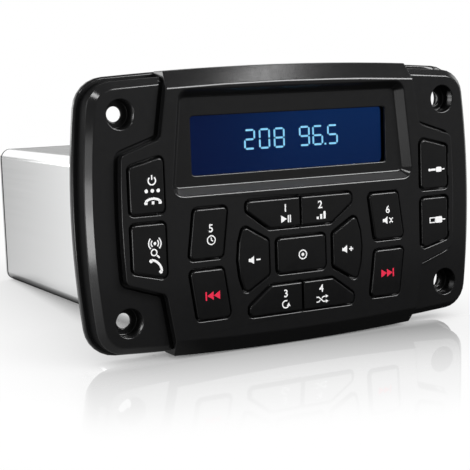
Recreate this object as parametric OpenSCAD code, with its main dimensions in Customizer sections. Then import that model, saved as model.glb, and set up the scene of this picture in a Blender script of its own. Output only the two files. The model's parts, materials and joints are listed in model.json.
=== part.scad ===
// Marine stereo for flush mounting in a dashboard: a black faceplate with a display, a keypad and
// covered ports, and a silver sleeve behind it that holds the electronics.
// X runs to the right, Y into the dashboard and Z up. Y = 0 is the back of the mounting gasket.

/* [Mounting flange] */
// Overall width of the flange at mid height
face_w = 156; // [154:1:160]
// Overall height of the flange at mid width
face_h = 95.8; // [95:0.1:98]
// Radius of the bowed top and bottom edges
top_bow_r = 1000; // [800:10:1400]
// Radius of the bowed side edges
side_bow_r = 300; // [260:1:400]
// Radius of the flange's corners
corner_r = 11; // [9:0.5:13]
// Depth of the flange from its screw pads to its back
flange_depth = 10.5; // [10.5:0.5:14]
// Height of the bevel around the screw pads
bevel = 2.3; // [1.5:0.1:3]
// Thickness of the lip at the flange's back
lip_t = 2.2; // [1.8:0.1:3]
// Rounding of the lip's front edge
lip_round = 0.7; // [0.3:0.1:1]
// Width of the lip outside the flange wall
lip_w = 1.6; // [1.2:0.1:2]
// Thickness of the wall behind the control board
wall_t = 2; // [1.5:0.1:2]
// Thickness of the flange's wall inside the panel's bands
inner_wall = 1.8; // [1.6:0.1:2]
// Width of the groove around the front panel
groove_w = 1.1; // [0.5:0.1:1.3]
// Depth of the groove around the front panel
groove_depth = 1; // [0.4:0.1:1.5]

/* [Mounting screws] */
// Distance of the screw holes from the flange's sides
hole_inset_x = 14.5; // [14:0.5:15]
// Distance of the screw holes from the flange's top and bottom
hole_inset_z = 14.2; // [13.8:0.1:15]
// Diameter of the screw holes
hole_d = 5; // [4:0.1:5.5]
// Diameter of the recess for the screw head
hole_recess_d = 9.6; // [8.5:0.1:10.5]
// Depth of the recess for the screw head
hole_recess_depth = 5.4; // [4:0.1:6]
// Thickness of the flange under a screw head
hole_floor = 1.2; // [1:0.1:1.8]
// Diameter of the hollow behind a screw hole
hole_hollow_d = 10.6; // [9:0.1:11]
// Thickness of the foam gasket behind the flange
gasket_t = 1.5; // [1:0.1:3]
// Distance from the gasket's edge to the flange's edge
gasket_inset = 0.6; // [0.2:0.1:2]

/* [Front panel] */
// Height of the panel's face above the screw pads
panel_proud = 3; // [2.5:0.1:4]
// Thickness of the panel
panel_t = 2.2; // [1.8:0.1:2.4]
// How far the panel's bands stand past the flange's top and bottom
panel_overhang = 0.2; // [0.1:0.1:0.5]
// Width of the screw pads beside the panel's ears
pad_w = 12.2; // [11.6:0.1:13]
// Height of the ears at their outer corners, above the middle
ear_outer_z = 20.7; // [20.4:0.1:21.5]
// Height of the ears at their inner corners, above the middle
ear_inner_z = 25.4; // [25:0.1:27]
// How much the waist narrows per millimetre of height
waist_slant = 0.16; // [0.12:0.01:0.18]
// Radius of the corners of the ears
ear_r = 2.5; // [1.8:0.1:3]
// Height of the sloped band along the panel's top and bottom
band_bevel_h = 5.6; // [4:0.1:6]
// Depth of the sloped band along the panel's top and bottom
band_bevel_depth = 3.9; // [2.5:0.1:4.5]
// Thickness of the bands behind the slope
band_t = 4.2; // [4:0.1:4.4]
// Width of the panel's seat on the flange
seat_w = 1; // [0.8:0.1:1.1]

/* [Display] */
// Distance of the display recess's bottom corners from the panel's waist
recess_side = 3.1; // [3:0.1:4]
// How much further in the recess's top corners are
recess_taper = 3.7; // [3:0.1:4]
// Distance of the recess from the flange's upper wall
recess_top_gap = 1.3; // [1:0.1:2]
// Distance of the recess from the number keys
recess_key_gap = 3.2; // [3:0.1:4]
// Depth of the display recess
recess_depth = 3.5; // [3:0.1:3.6]
// How far the recess's walls slope inwards
recess_slope = 2.5; // [1.5:0.1:3]
// Radius of the recess's corners at the panel's face
recess_r = 4; // [3.5:0.1:5]
// Thickness of the recess's floor
floor_t = 1.2; // [1:0.1:1.3]
// Distance of the display window from the recess's top corners, sideways
window_side = 5.6; // [5.4:0.1:9]
// Distance of the display window from the recess's upper and lower edges
window_gap = 7.6; // [7.4:0.1:10]
// How far the window sits below the middle of the recess
window_drop = 1.3; // [0:0.1:1.5]
// Radius of the window's corners
window_r = 1.2; // [0.5:0.1:2]
// Width that the lens overlaps the window
lens_lap = 2.8; // [2.5:0.1:3]
// Thickness of the lens
lens_t = 1; // [0.8:0.1:1.2]
// Thickness of the seal in front of the lens
lens_seal_t = 0.4; // [0.3:0.1:0.6]
// Width of the seal in front of the lens
lens_seal_w = 1.6; // [1:0.1:2]
// Thickness of the liquid crystal glass
glass_t = 1.1; // [1:0.1:1.4]
// Thickness of the light guide behind the glass
guide_t = 1.1; // [1:0.1:1.4]
// Width of the ledge that carries the lens
lens_ledge = 1.2; // [0.8:0.1:1.6]
// Wall of the frame around the display
frame_wall = 1.6; // [1.2:0.1:1.8]

/* [Keys] */
// Height of the middle of the key cluster above the flange's lower wall
key_rise = 25.4; // [25.2:0.1:26]
// How far the keys stand proud of the panel
key_proud = 0.8; // [0.5:0.1:1.2]
// How far a key travels when it is pressed
key_travel = 0.8; // [0.4:0.1:1]
// Gap between a key and its opening in the panel
key_gap = 0.6; // [0.4:0.05:0.65]
// Width of the flange that holds a key behind the panel
key_flange_w = 1.2; // [1:0.05:1.3]
// Thickness of the flange that holds a key behind the panel
key_flange_t = 0.8; // [0.6:0.1:0.8]
// Rounding of a key's top edge
key_edge = 0.6; // [0.3:0.1:0.8]
// Radius of the keys' corners
key_r = 1.5; // [1:0.1:2]
// Slit between the two keys of a pair
key_slit = 0.7; // [0.4:0.1:1]
// Width of the select key, as a share of the distance from the middle to the outer keys
select_share = 0.378; // [0.36:0.002:0.384]
// Height of the select key
select_h = 12; // [11:0.1:12.4]
// Half width of a pair of number keys on the side that faces the select key, as the same share
pair_inner_share = 0.241; // [0.22:0.001:0.25]
// Half width of a pair of number keys at its outer corners, as the same share
pair_outer_share = 0.41; // [0.4:0.002:0.416]
// Distance of a pair of number keys from the cluster's middle
pair_near_z = 9.75; // [9.5:0.05:10.2]
// Distance of a pair's outer corners from the cluster's middle
pair_corner_z = 16.2; // [15.8:0.1:16.8]
// Distance of a pair's far edge from the cluster's middle
pair_far_z = 19.6; // [19:0.1:19.7]
// Distance of a volume key's inner edge from the cluster's middle, as the same share
volume_inner_share = 0.252; // [0.248:0.001:0.26]
// Half height of a volume key at its inner edge
volume_inner_z = 5.8; // [5:0.1:6]
// Distance of a volume key's outer corners from the cluster's middle, as the same share
volume_outer_share = 0.439; // [0.43:0.001:0.444]
// Half height of a volume key at its outer corners
volume_outer_z = 11.45; // [10.8:0.05:11.6]
// Bulge of a volume key's outer edge
volume_bulge = 2.3; // [1.5:0.1:2.4]
// Distance of a side key's near edge from the cluster's middle, upwards
side_near_z = 1.85; // [1.8:0.05:2.2]
// Distance of a side key's far edge from the cluster's middle, upwards
side_far_z = 18.45; // [18:0.05:18.5]
// Distance of a side key from a volume key, as the same share
side_gap_share = 0.114; // [0.11:0.001:0.13]
// Distance of a side key from an outer key, as the same share
outer_gap_share = 0.161; // [0.155:0.001:0.17]
// Sideways lean of a side key over its height
side_lean = 2.3; // [2:0.1:2.6]
// Distance of an outer key from the edge of its ear
outer_edge_gap = 2.8; // [2.7:0.1:3.2]
// Width of an outer key
outer_w = 12; // [11.5:0.1:12.5]
// Distance of an outer key's near edge from the middle, upwards
outer_near_z = 1.6; // [1.55:0.05:2]
// Height of an outer key's inner corner, above the middle
outer_high_z = 19.85; // [19:0.05:20]
// Height of an outer key's outer corner, above the middle
outer_low_z = 16.9; // [16:0.1:17.2]
// Thickness of the silicone web around the keys
web_t = 0.8; // [0.6:0.1:0.8]
// Gap between the silicone web and the keys
web_gap = 0.3; // [0.2:0.05:0.35]

/* [Ports] */
// Thickness of a port cover
cover_t = 1.4; // [1:0.1:1.5]
// Gap beside a port cover for its rubber hinge
hinge_gap = 0.6; // [0.5:0.1:0.8]
// Thickness of the rubber hinge strip
strip_t = 0.7; // [0.5:0.1:0.7]
// Length of the rubber hinge strip
strip_len = 8; // [5:0.5:10]
// Height of the headphone jack's middle above the middle of the face
jack_z = 10; // [9.6:0.1:10.2]
// Bore of the headphone jack
jack_bore_d = 3.6; // [3.5:0.05:3.7]
// Width and height of the jack's body
jack_body = 9; // [8:0.1:9.6]
// Diameter of the jack's collar
jack_collar_d = 7.6; // [6.5:0.1:8]
// Depth of the socket of the USB port below the middle of the face
usb_z = 10.4; // [10.2:0.1:10.5]
// Width of the USB socket's shell
usb_shell_w = 7; // [6.8:0.1:7.2]
// Height of the USB socket's shell
usb_shell_h = 14.3; // [14:0.1:14.5]
// Sheet thickness of the USB socket's shell
usb_shell_t = 0.6; // [0.4:0.1:0.7]
// Thickness of the contact tongue in the USB socket
tongue_t = 1.9; // [1.6:0.1:2]
// How far the plug on a cover reaches into its port
plug_reach = 1.3; // [0.8:0.1:1.5]
// Thickness of the plate around the ports
port_plate_t = 1; // [0.8:0.1:1.2]

/* [Control board] */
// Thickness of the circuit boards
board_t = 1.6; // [1.2:0.1:1.6]
// Gap between a board and what surrounds it
board_gap = 0.5; // [0.3:0.1:0.8]
// Width of a key switch
switch_w = 6; // [5:0.1:6.4]
// Height of a key switch's body
switch_h = 3.4; // [2.6:0.1:3.5]
// Height of a key switch's plunger
plunger_h = 0.5; // [0.3:0.1:0.7]
// Diameter of a key switch's plunger
plunger_d = 3.4; // [2.5:0.1:3.5]
// Clearance left between a pressed key and its switch
press_gap = 0.1; // [0.05:0.05:0.2]
// Diameter of the stem behind a key
stem_d = 4; // [3:0.1:5]
// Radius of the posts that carry the control board
post_r = 1.9; // [1.6:0.1:2]
// Diameter of the small screws
small_screw_d = 2; // [1.6:0.1:2.2]
// Head diameter of the small screws
small_head_d = 3.6; // [3.2:0.1:4]
// Head height of the small screws
small_head_h = 1.2; // [0.8:0.1:1.2]
// Length of the small screws
small_screw_len = 5.2; // [4.5:0.1:5.5]

/* [Sleeve] */
// Distance of the sleeve's sides from the middle of the screw holes
sleeve_hole_gap = 5.5; // [5:0.5:7]
// Height of the sleeve
sleeve_h = 55.6; // [54:0.1:57]
// Height of the sleeve's middle
sleeve_z = -10.4; // [-11:0.1:-8]
// Length of the sleeve
sleeve_len = 130.5; // [110:0.5:160]
// Wall of the sleeve
sleeve_wall = 1.6; // [1.2:0.1:2]
// Radius of the sleeve's edges
sleeve_r = 4; // [3:0.1:6]
// Thickness of the seals at the sleeve's ends
end_seal_t = 1; // [0.6:0.1:1.5]
// Width of the seals at the sleeve's ends
end_seal_w = 7; // [6.6:0.1:8]
// Distance of the screw channels from the middle, sideways
channel_x = 40; // [36:0.5:44]
// Diameter of the screw channels
channel_d = 6; // [5:0.1:6.4]
// Diameter of the screws in the channels
channel_screw_d = 3; // [2.5:0.1:3]
// Head diameter of the screws in the channels
channel_head_d = 5.4; // [5:0.1:6]
// Length of the screws in the channels
channel_screw_len = 12; // [8:1:20]
// Thickness of the rear plate
rear_plate_t = 1.6; // [1.2:0.1:2.5]
// Clearance around the shanks of all screws
screw_gap = 0.1; // [0.05:0.05:0.15]

/* [Electronics] */
// Height of the main board's top face above the sleeve's underside
main_board_rise = 13.2; // [12.6:0.1:14]
// Reach of the ribs that carry the main board
guide_reach = 2.5; // [2:0.1:3]
// Thickness of the ribs that carry the main board
guide_rib = 1.3; // [1:0.1:1.6]
// Thickness of the plate that spreads the amplifier's heat
spreader_t = 4; // [3:0.1:5]
// Height of the amplifier chip
chip_h = 17; // [14:1:18]
// Thickness of the amplifier chip
chip_t = 4.5; // [3.5:0.1:5]
// Width of the harness socket
harness_w = 32; // [28:1:34]
// Height of the harness socket
harness_h = 14; // [13:0.5:15]
// Depth of the harness socket's hollow
harness_depth = 12; // [11:0.5:13]
// Wall of the harness socket
harness_wall = 1.6; // [1.2:0.1:2]
// How far the harness socket stands out of the rear plate
harness_proud = 4; // [2:0.5:6]
// Length of the pins in the harness socket
harness_pin_len = 7; // [5:0.5:7.5]
// Outer diameter of the antenna socket
antenna_d = 12; // [11:0.1:13]
// Bore of the antenna socket
antenna_bore_d = 8.2; // [8:0.1:8.4]
// Depth of the antenna socket's bore
antenna_depth = 12; // [10:0.5:14]
// How far the antenna socket stands out of the rear plate
antenna_proud = 6; // [3:0.5:8]
// Diameter of the large capacitor
big_cap_d = 16; // [12:0.5:18]
// Height of the large capacitor
big_cap_h = 25; // [20:0.5:30]
// Diameter of the small capacitors
small_cap_d = 10; // [8:0.5:12]
// Height of the small capacitors
small_cap_h = 16; // [12:0.5:20]
// Distance of the capacitors' middle from the rear plate
capacitor_back = 49; // [47:1:60]
// Length of the tuner's can
tuner_len = 38; // [30:1:44]
// Height of the tuner's can
tuner_h = 22; // [18:1:26]
// Width of the wireless module
wireless_w = 18; // [14:1:24]
// Length of the wireless module
wireless_len = 26; // [20:1:34]
// Height of the wireless module with its shield
wireless_h = 3; // [2:0.5:4]
// Distance of the wireless module from the flange
wireless_front = 24; // [16:1:30]
// Gap between neighbouring components
part_gap = 2; // [1:0.1:3]
// Radius of the choke's ring
choke_r = 9; // [8:0.1:10]
// Thickness of the choke's ring
choke_t = 7; // [5:0.1:8]

/* [Hidden] */

$fn = 48;
// Segments of a rounded corner, of a bowed edge and of a very large circle
corner_steps = 6;
bow_steps = 12;
large_fn = 720;
// Overlap that makes cuts pass clean through, and the gap between fixed pieces that fit together
cut = 1;
fit_gap = 0.2;

// Depth levels, from the gasket's back to the keys' tops
flange_back_y = -gasket_t;
pad_y = flange_back_y - flange_depth;
front_y = pad_y - panel_proud;
panel_back_y = front_y + panel_t;
key_top_y = front_y - key_proud;
recess_y = front_y + recess_depth;
recess_back_y = recess_y + floor_t;
lens_y = recess_back_y + lens_seal_t;
lens_back_y = lens_y + lens_t;
glass_back_y = lens_back_y + glass_t;
board_y = glass_back_y + guide_t;
board_back_y = board_y + board_t;
wall_y = flange_back_y - wall_t;
lip_y = flange_back_y - lip_t;
band_back_y = lip_y - screw_gap;
plunger_y = board_y - switch_h - plunger_h;
stem_back_y = plunger_y - press_gap - key_travel;
port_y = key_top_y + cover_t + 2 * screw_gap;

// Depth levels of the sleeve
sleeve_y = flange_back_y + end_seal_t;
sleeve_end_y = sleeve_y + sleeve_len;
rear_y = sleeve_end_y + end_seal_t;
rear_face_y = rear_y + rear_plate_t;

// Flange sizes
rim = lip_w + bevel;
band_z = face_h / 2 - band_t + panel_overhang;
cavity_z = band_z - inner_wall;
panel_half_h = face_h / 2 + panel_overhang;
panel_bow_r = top_bow_r + panel_overhang;
hole_x = face_w / 2 - hole_inset_x;
hole_z = face_h / 2 - hole_inset_z;
hole_places = [for (sx = [-1, 1], sz = [-1, 1]) [sx * hole_x, sz * hole_z]];
panel_screw_x = face_w / 8;
panel_screw_z = band_z + small_screw_d / 2 + 4 * screw_gap;
panel_screw_places = [for (sx = [-1, 1], sz = [-1, 1]) [sx * panel_screw_x, sz * panel_screw_z]];

// Key places, from the ears inwards and from the flange's lower wall upwards
ear_w = face_w - 2 * pad_w;
outer_inner_x = ear_w / 2 - outer_edge_gap - outer_w;
port_x = outer_inner_x + outer_w / 2;
waist_x = outer_inner_x + screw_gap;
key_centre_z = key_rise - cavity_z;
select_w = select_share * outer_inner_x;
pair_inner_x = pair_inner_share * outer_inner_x;
pair_outer_x = pair_outer_share * outer_inner_x;
volume_inner_x = volume_inner_share * outer_inner_x;
volume_outer_x = volume_outer_share * outer_inner_x;
side_inner_x = volume_outer_x + volume_bulge + side_gap_share * outer_inner_x;
side_w = outer_inner_x * (1 - outer_gap_share) - side_inner_x;
function waist(z) = waist_x - waist_slant * (abs(z) - ear_inner_z);

// Display sizes
recess_bottom_x = waist_x - recess_side;
recess_top_x = recess_bottom_x - recess_taper;
recess_top_z = cavity_z - recess_top_gap;
recess_bottom_z = key_centre_z + pair_far_z + recess_key_gap;
window_w = 2 * (recess_top_x - window_side);
window_h = recess_top_z - recess_bottom_z - 2 * window_gap;
window_z = (recess_top_z + recess_bottom_z) / 2 - window_drop;
lens_size = [window_w + 2 * lens_lap, window_h + 2 * lens_lap];
glass_size = lens_size - 2 * [lens_ledge, lens_ledge];
frame_size = lens_size + 2 * [frame_wall, frame_wall];

// Board posts, clear of the display and of the keys
wall_gap = 2 * fit_gap;
post_low_z = post_r + wall_gap - cavity_z;
post_high_z = (cavity_z + recess_bottom_z + window_gap) / 2 + post_r;
function post_at_wall(z) = [waist(z) - seat_w - wall_gap - post_r, z];
right_posts = [[(pair_outer_x + side_inner_x - side_lean) / 2, post_low_z], post_at_wall(post_low_z),
  post_at_wall(post_high_z)];
post_places = [for (sx = [-1, 1], p = right_posts) [sx * p.x, p.y]];

// Sleeve sizes
sleeve_w = 2 * (hole_x - sleeve_hole_gap);
inner_w = sleeve_w - 2 * sleeve_wall;
channel_dz = sleeve_h / 2 - sleeve_wall - channel_d / 2 + 0.4;
channel_places = [for (sx = [-1, 1], sz = [-1, 1]) [sx * channel_x, sleeve_z + sz * channel_dz]];

countersink = channel_head_d / 2 - channel_screw_d / 2;

// Rear fittings, side by side inside the rear seal
main_board_z = sleeve_z - sleeve_h / 2 + main_board_rise;
seal_x = sleeve_w / 2 - end_seal_w;
seal_z = sleeve_z + sleeve_h / 2 - end_seal_w;
antenna_x = seal_x - wall_gap - antenna_d / 2;
antenna_z = main_board_z + tuner_h - antenna_d / 2;
harness_x = antenna_x - antenna_d / 2 - 3 * fit_gap - harness_w / 2;
fuse_size = [5.2, 8, 19];
holder_wall = 2;
holder_w = fuse_size.x + 2 * holder_wall;
holder_h = fuse_size.z + 2 * holder_wall;
fuse_x = harness_x - (harness_w + holder_w) / 2 - part_gap - wall_gap;
spreader_ends = [1 - seal_x, fuse_x - holder_w / 2 - part_gap - wall_gap];
spreader_w = spreader_ends[1] - spreader_ends[0];
spreader_x = (spreader_ends[0] + spreader_ends[1]) / 2;
spreader_h = seal_z - 7 * fit_gap - main_board_z;
clip_t = 1;
clip_h = 6;
clip_foot = 6;
chip_lift = 2;
chip_y = rear_y - spreader_t - chip_t;
clip_y = chip_y - clip_t;
chip_w = spreader_w - 2 * clip_foot - 5 * fit_gap;
clip_z = main_board_z + chip_lift + chip_h / 2;
clip_places = [for (s = [-1, 1]) [spreader_x + s * (spreader_w - clip_foot) / 2, clip_z]];
link_size = [30, 13.5, 8];
socket_floor = 4;
colour_black = "#1d1d1e";
colour_rubber = "#202021";
colour_foam = "#2a2a2a";
colour_silver = "#c9ccd0";
colour_steel = "#a9adb2";
colour_board = "#1f5a35";

// Plane geometry on [x, z] points, listed counter-clockwise as seen from the front
function unit(v) = v / norm(v);
function around(p, i) = p[(i + len(p)) % len(p)];
function left_of(v) = [-v.y, v.x];

// Moves every edge of an outline inwards by d
function inset(p, d) = [for (i = [0 : len(p) - 1])
  let (n = left_of(unit(p[i] - around(p, i - 1))), m = left_of(unit(around(p, i + 1) - p[i])))
  p[i] + (n + m) * d / (1 + n * m)];

// Points of an arc, without its last one
function polar(r, a) = r * [cos(a), sin(a)];
function arc(c, r, a0, a1, n) = [for (k = [0 : n - 1]) c + polar(r, a0 + (a1 - a0) * k / n)];

// Turn at a corner, positive to the left
function turn(p, i) = let (u = p[i] - around(p, i - 1), v = around(p, i + 1) - p[i])
  atan2(u.x * v.y - u.y * v.x, u * v);

// One rounded corner, or the bare point where the radius is zero
function round_corner(p, i, r) = r <= 0 ? [p[i]] :
  let (a = turn(p, i), u = unit(p[i] - around(p, i - 1)), side = sign(a),
    start = p[i] - u * r * tan(abs(a) / 2), c = start + side * r * left_of(u),
    a0 = atan2(start.y - c.y, start.x - c.x))
  concat(arc(c, r, a0, a0 + a, corner_steps), [c + polar(r, a0 + a)]);

// Outline moved inwards by d, with its corners rounded to stay parallel to the rounded outline
function soft(p, r, d = 0) = let (q = inset(p, d))
  [for (i = [0 : len(p) - 1])
    each round_corner(q, i, r[i] <= 0 ? 0 : max(r[i] - sign(turn(p, i)) * d, 0.05))];
function alike(p, r) = [for (q = p) r];
function flip_x(p) = [for (i = [len(p) - 1 : -1 : 0]) [-p[i].x, p[i].y]];
function flip_z(p) = [for (i = [len(p) - 1 : -1 : 0]) [p[i].x, -p[i].y]];
function raise(p, z) = [for (q = p) q + [0, z]];
function box(w, h, x = 0, z = 0) = [[x - w / 2, z - h / 2], [x + w / 2, z - h / 2],
  [x + w / 2, z + h / 2], [x - w / 2, z + h / 2]];
function round_box(w, h, r, x = 0, z = 0) = soft(box(w, h, x, z), alike(box(w, h), r));

// Rectangle with bowed sides and round corners, moved inwards by d
function bowed(d) =
  let (top = [0, face_h / 2 - top_bow_r], side = [face_w / 2 - side_bow_r, 0],
    ra = top_bow_r - corner_r, rb = side_bow_r - corner_r, e = unit(side - top), l = norm(side - top),
    t = (ra * ra - rb * rb + l * l) / (2 * l), c = top + t * e - sqrt(ra * ra - t * t) * left_of(e),
    a = atan2(c.y - top.y, c.x), b = atan2(c.y, c.x - side.x), r = corner_r - d,
    half = concat(arc(side, side_bow_r - d, 0, b, bow_steps / 2), arc(c, r, b, a, corner_steps),
      arc(top, top_bow_r - d, a, 90, bow_steps)))
  concat(half, [[0, face_h / 2 - d]], flip_x([for (i = [1 : len(half) - 1]) half[i]]),
    [for (p = half) -p], [[0, d - face_h / 2]], flip_z([for (i = [1 : len(half) - 1]) half[i]]));

// Half width across the ears at a height
function ear_x(z) = ear_w / 2 - z * z / (2 * side_bow_r);
band_reach = panel_half_h + cut;
panel_right = [[waist(band_reach), -band_reach], [waist_x, -ear_inner_z], [ear_x(ear_outer_z), -ear_outer_z],
  [ear_x(ear_outer_z / 2), -ear_outer_z / 2], [ear_x(0), 0], [ear_x(ear_outer_z / 2), ear_outer_z / 2],
  [ear_x(ear_outer_z), ear_outer_z], [waist_x, ear_inner_z], [waist(band_reach), band_reach]];
panel_right_r = [0, ear_r, ear_r, 0, 0, 0, ear_r, ear_r, 0];
panel_line = concat(panel_right, flip_x(flip_z(flip_z(panel_right))));
panel_line_r = concat(panel_right_r, panel_right_r);

// Display recess
recess_line = [[-recess_bottom_x, recess_bottom_z], [recess_bottom_x, recess_bottom_z],
  [recess_top_x, recess_top_z], [-recess_top_x, recess_top_z]];
function recess_ring(d) = soft(recess_line, alike(recess_line, recess_r), d);

// Keys on the right, and their mirror images
pair_line = [[key_slit / 2, pair_near_z], [pair_inner_x, pair_near_z], [pair_outer_x, pair_corner_z],
  [pair_outer_x, pair_far_z], [key_slit / 2, pair_far_z]];
pair_r = [key_slit / 2, key_r, key_r, key_r, key_slit / 2];
function bulge_point(z) = [volume_outer_x + volume_bulge * (1 - pow(z / volume_outer_z, 2)), z];
volume_line = concat([[volume_inner_x, -volume_inner_z]],
  [for (k = [-2 : 2]) bulge_point(k * volume_outer_z / 2)], [[volume_inner_x, volume_inner_z]]);
volume_r = [key_r, key_r, 0, 0, 0, key_r, key_r];
side_line = [[side_inner_x, side_near_z], [side_inner_x + side_w, side_near_z],
  [side_inner_x + side_w - side_lean, side_far_z], [side_inner_x - side_lean, side_far_z]];
function outer_line(w) = [[outer_inner_x, outer_near_z], [outer_inner_x + w, outer_near_z],
  [outer_inner_x + w, outer_low_z], [outer_inner_x, outer_high_z]];
function back(r) = [for (i = [len(r) - 1 : -1 : 0]) r[i]];
plain_r = alike(side_line, key_r);

// Each key: outline, corner radii and switch place
switch_pair = [(key_slit / 2 + pair_inner_x) / 2 + 2, (pair_near_z + pair_far_z) / 2];
switch_side = [side_inner_x + side_w / 2 - side_lean / 2, (side_near_z + side_far_z) / 2];
switch_outer = [outer_inner_x + outer_w / 2, (outer_near_z + outer_low_z) / 2];
switch_volume = [(volume_inner_x + volume_outer_x) / 2 + 0.5, 0];
up = [0, key_centre_z];
key_table = [
  ["key_2", raise(pair_line, key_centre_z), pair_r, up + switch_pair],
  ["key_1", raise(flip_x(pair_line), key_centre_z), back(pair_r), up + [-switch_pair.x, switch_pair.y]],
  ["key_4", raise(flip_z(pair_line), key_centre_z), back(pair_r), up + [switch_pair.x, -switch_pair.y]],
  ["key_3", raise(flip_x(flip_z(pair_line)), key_centre_z), pair_r, up - switch_pair],
  ["key_volume_up", raise(volume_line, key_centre_z), volume_r, up + switch_volume],
  ["key_volume_down", raise(flip_x(volume_line), key_centre_z), back(volume_r), up - switch_volume],
  ["key_select", raise(box(select_w, select_h), key_centre_z), plain_r, up],
  ["key_6", raise(side_line, key_centre_z), plain_r, up + switch_side],
  ["key_5", raise(flip_x(side_line), key_centre_z), plain_r, up + [-switch_side.x, switch_side.y]],
  ["key_next", raise(flip_z(side_line), key_centre_z), plain_r, up + [switch_side.x, -switch_side.y]],
  ["key_previous", raise(flip_x(flip_z(side_line)), key_centre_z), plain_r, up - switch_side],
  ["key_power", flip_x(outer_line(outer_w)), plain_r, [-switch_outer.x, switch_outer.y]],
  ["key_band", flip_x(flip_z(outer_line(outer_w))), plain_r, -switch_outer]
];
cover_openings = [outer_line(outer_w), flip_z(outer_line(outer_w))];
function key_row(name) = [for (k = key_table) if (k[0] == name) k][0];

// Solid between two depths with the outline of its children
module slab(y0, y1) {
  translate([0, y1, 0])
    rotate([90, 0, 0])
      linear_extrude(y1 - y0)
        children();
}

// Outline between two depths
module plate(points, y0, y1) {
  slab(y0, y1)
    polygon(points);
}

// Round bar along Y, or a cone where the two radii differ
module bar(place, y0, y1, r0, r1 = -1) {
  translate([place.x, y0, place.y])
    rotate([-90, 0, 0])
      cylinder(h = y1 - y0, r1 = r0, r2 = r1 < 0 ? r0 : r1);
}

// Cut with an outline, and a round cut, clean through between two depths
module through(points, y0, y1) {
  plate(points, y0 - cut, y1 + cut);
}
module bore(place, y0, y1, r) {
  bar(place, y0 - cut, y1 + cut, r);
}

// Block on the main board: middle of its foot, and its size
module block(x, y, size, z = main_board_z) {
  translate([x - size.x / 2, y, z])
    cube(size);
}

// Skin over rings of equal point counts, from the back to the front
module skin(rings, levels) {
  n = len(rings[0]);
  last = len(rings) - 1;
  polyhedron(
    points = [for (j = [0 : last], p = rings[j]) [p.x, levels[j], p.y]],
    faces = concat(
      [[for (i = [0 : n - 1]) i]],
      [for (j = [0 : last - 1], i = [0 : n - 1], t = [0, 1])
        let (a = j * n + i, b = j * n + (i + 1) % n)
        t == 0 ? [a, a + n, b + n] : [a, b + n, b]],
      [[for (i = [n - 1 : -1 : 0]) last * n + i]]));
}

// Cap with a rounded front edge
module soft_cap(line, r, back_y, edge) {
  skin([soft(line, r), soft(line, r), soft(line, r, edge * 0.3), soft(line, r, edge)],
    [back_y, key_top_y + edge, key_top_y + edge * 0.3, key_top_y]);
}

// Screw along Y: head at y, shank running to y + len, so a negative len points to the front
module screw(place, y, d, head_d, head_h, len) {
  way = sign(len);
  bar(place, min(y, y + len), max(y, y + len), d / 2);
  bar(place, min(y, y - way * head_h), max(y, y - way * head_h), head_d / 2);
}

// Foam gasket between the flange and the dashboard
module mounting_gasket() {
  color(colour_foam)
    difference() {
      plate(bowed(gasket_inset), flange_back_y, 0);
      plate(round_box(sleeve_w + 3, sleeve_h + 3, sleeve_r, 0, sleeve_z), flange_back_y - cut, cut);
      for (p = hole_places)
        bar(p, flange_back_y - cut, cut, hole_hollow_d / 2);
    }
}

// Moulded flange: lip, wall and bevelled pads, hollow behind the front panel
module mounting_flange() {
  color(colour_black)
    difference() {
      skin([bowed(0), bowed(0), bowed(lip_round), bowed(lip_w), bowed(lip_w), bowed(rim)],
        [flange_back_y, lip_y + lip_round, lip_y, lip_y, pad_y + bevel, pad_y]);
      intersection() {
        plate(soft(panel_line, panel_line_r, seat_w), pad_y - cut, wall_y);
        plate(box(face_w, 2 * cavity_z), pad_y - cut, wall_y);
      }
      plate(soft(panel_line, panel_line_r, -groove_w), pad_y - cut, pad_y + groove_depth);
      for (s = [-1, 1])
        intersection() {
          plate(soft(panel_line, panel_line_r, -fit_gap), pad_y - cut, lip_y);
          plate(box(face_w, 2 * band_t, 0, s * (band_z + band_t - fit_gap)), pad_y - cut, lip_y);
        }
      for (p = hole_places) {
        bore(p, pad_y, flange_back_y, hole_d / 2);
        bar(p, pad_y - cut, pad_y + hole_recess_depth, hole_recess_d / 2);
        bar(p, pad_y + hole_recess_depth + hole_floor, flange_back_y + cut, hole_hollow_d / 2);
      }
      for (p = channel_places) {
        bore(p, wall_y, flange_back_y, channel_screw_d / 2 + screw_gap);
        bar(p, wall_y, wall_y + countersink, channel_head_d / 2, channel_screw_d / 2);
      }
      for (p = panel_screw_places) {
        bore(p, lip_y, flange_back_y, small_screw_d / 2 + screw_gap);
        bar(p, flange_back_y - small_head_h, flange_back_y + cut, small_head_d / 2 + screw_gap);
      }
      through(box(link_size.x + 2, link_size.z + 2, 0, main_board_z + link_size.z / 2),
        wall_y, flange_back_y);
    }
}

// Rounded top or bottom of the panel: a slope at the front and a straight band behind it
module band_limit(side) {
  centre = [0, side * (panel_half_h - panel_bow_r)];
  $fn = large_fn;
  bar(centre, front_y, front_y + band_bevel_depth, panel_bow_r - band_bevel_h, panel_bow_r);
  bar(centre, front_y + band_bevel_depth, flange_back_y, panel_bow_r);
}

// Openings of the panel for the keys and the port covers
module key_openings(y0, y1) {
  for (k = key_table)
    plate(soft(k[1], k[2], -key_gap), y0, y1);
  for (line = cover_openings)
    plate(soft(line, plain_r, -key_gap), y0, y1);
}

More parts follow.
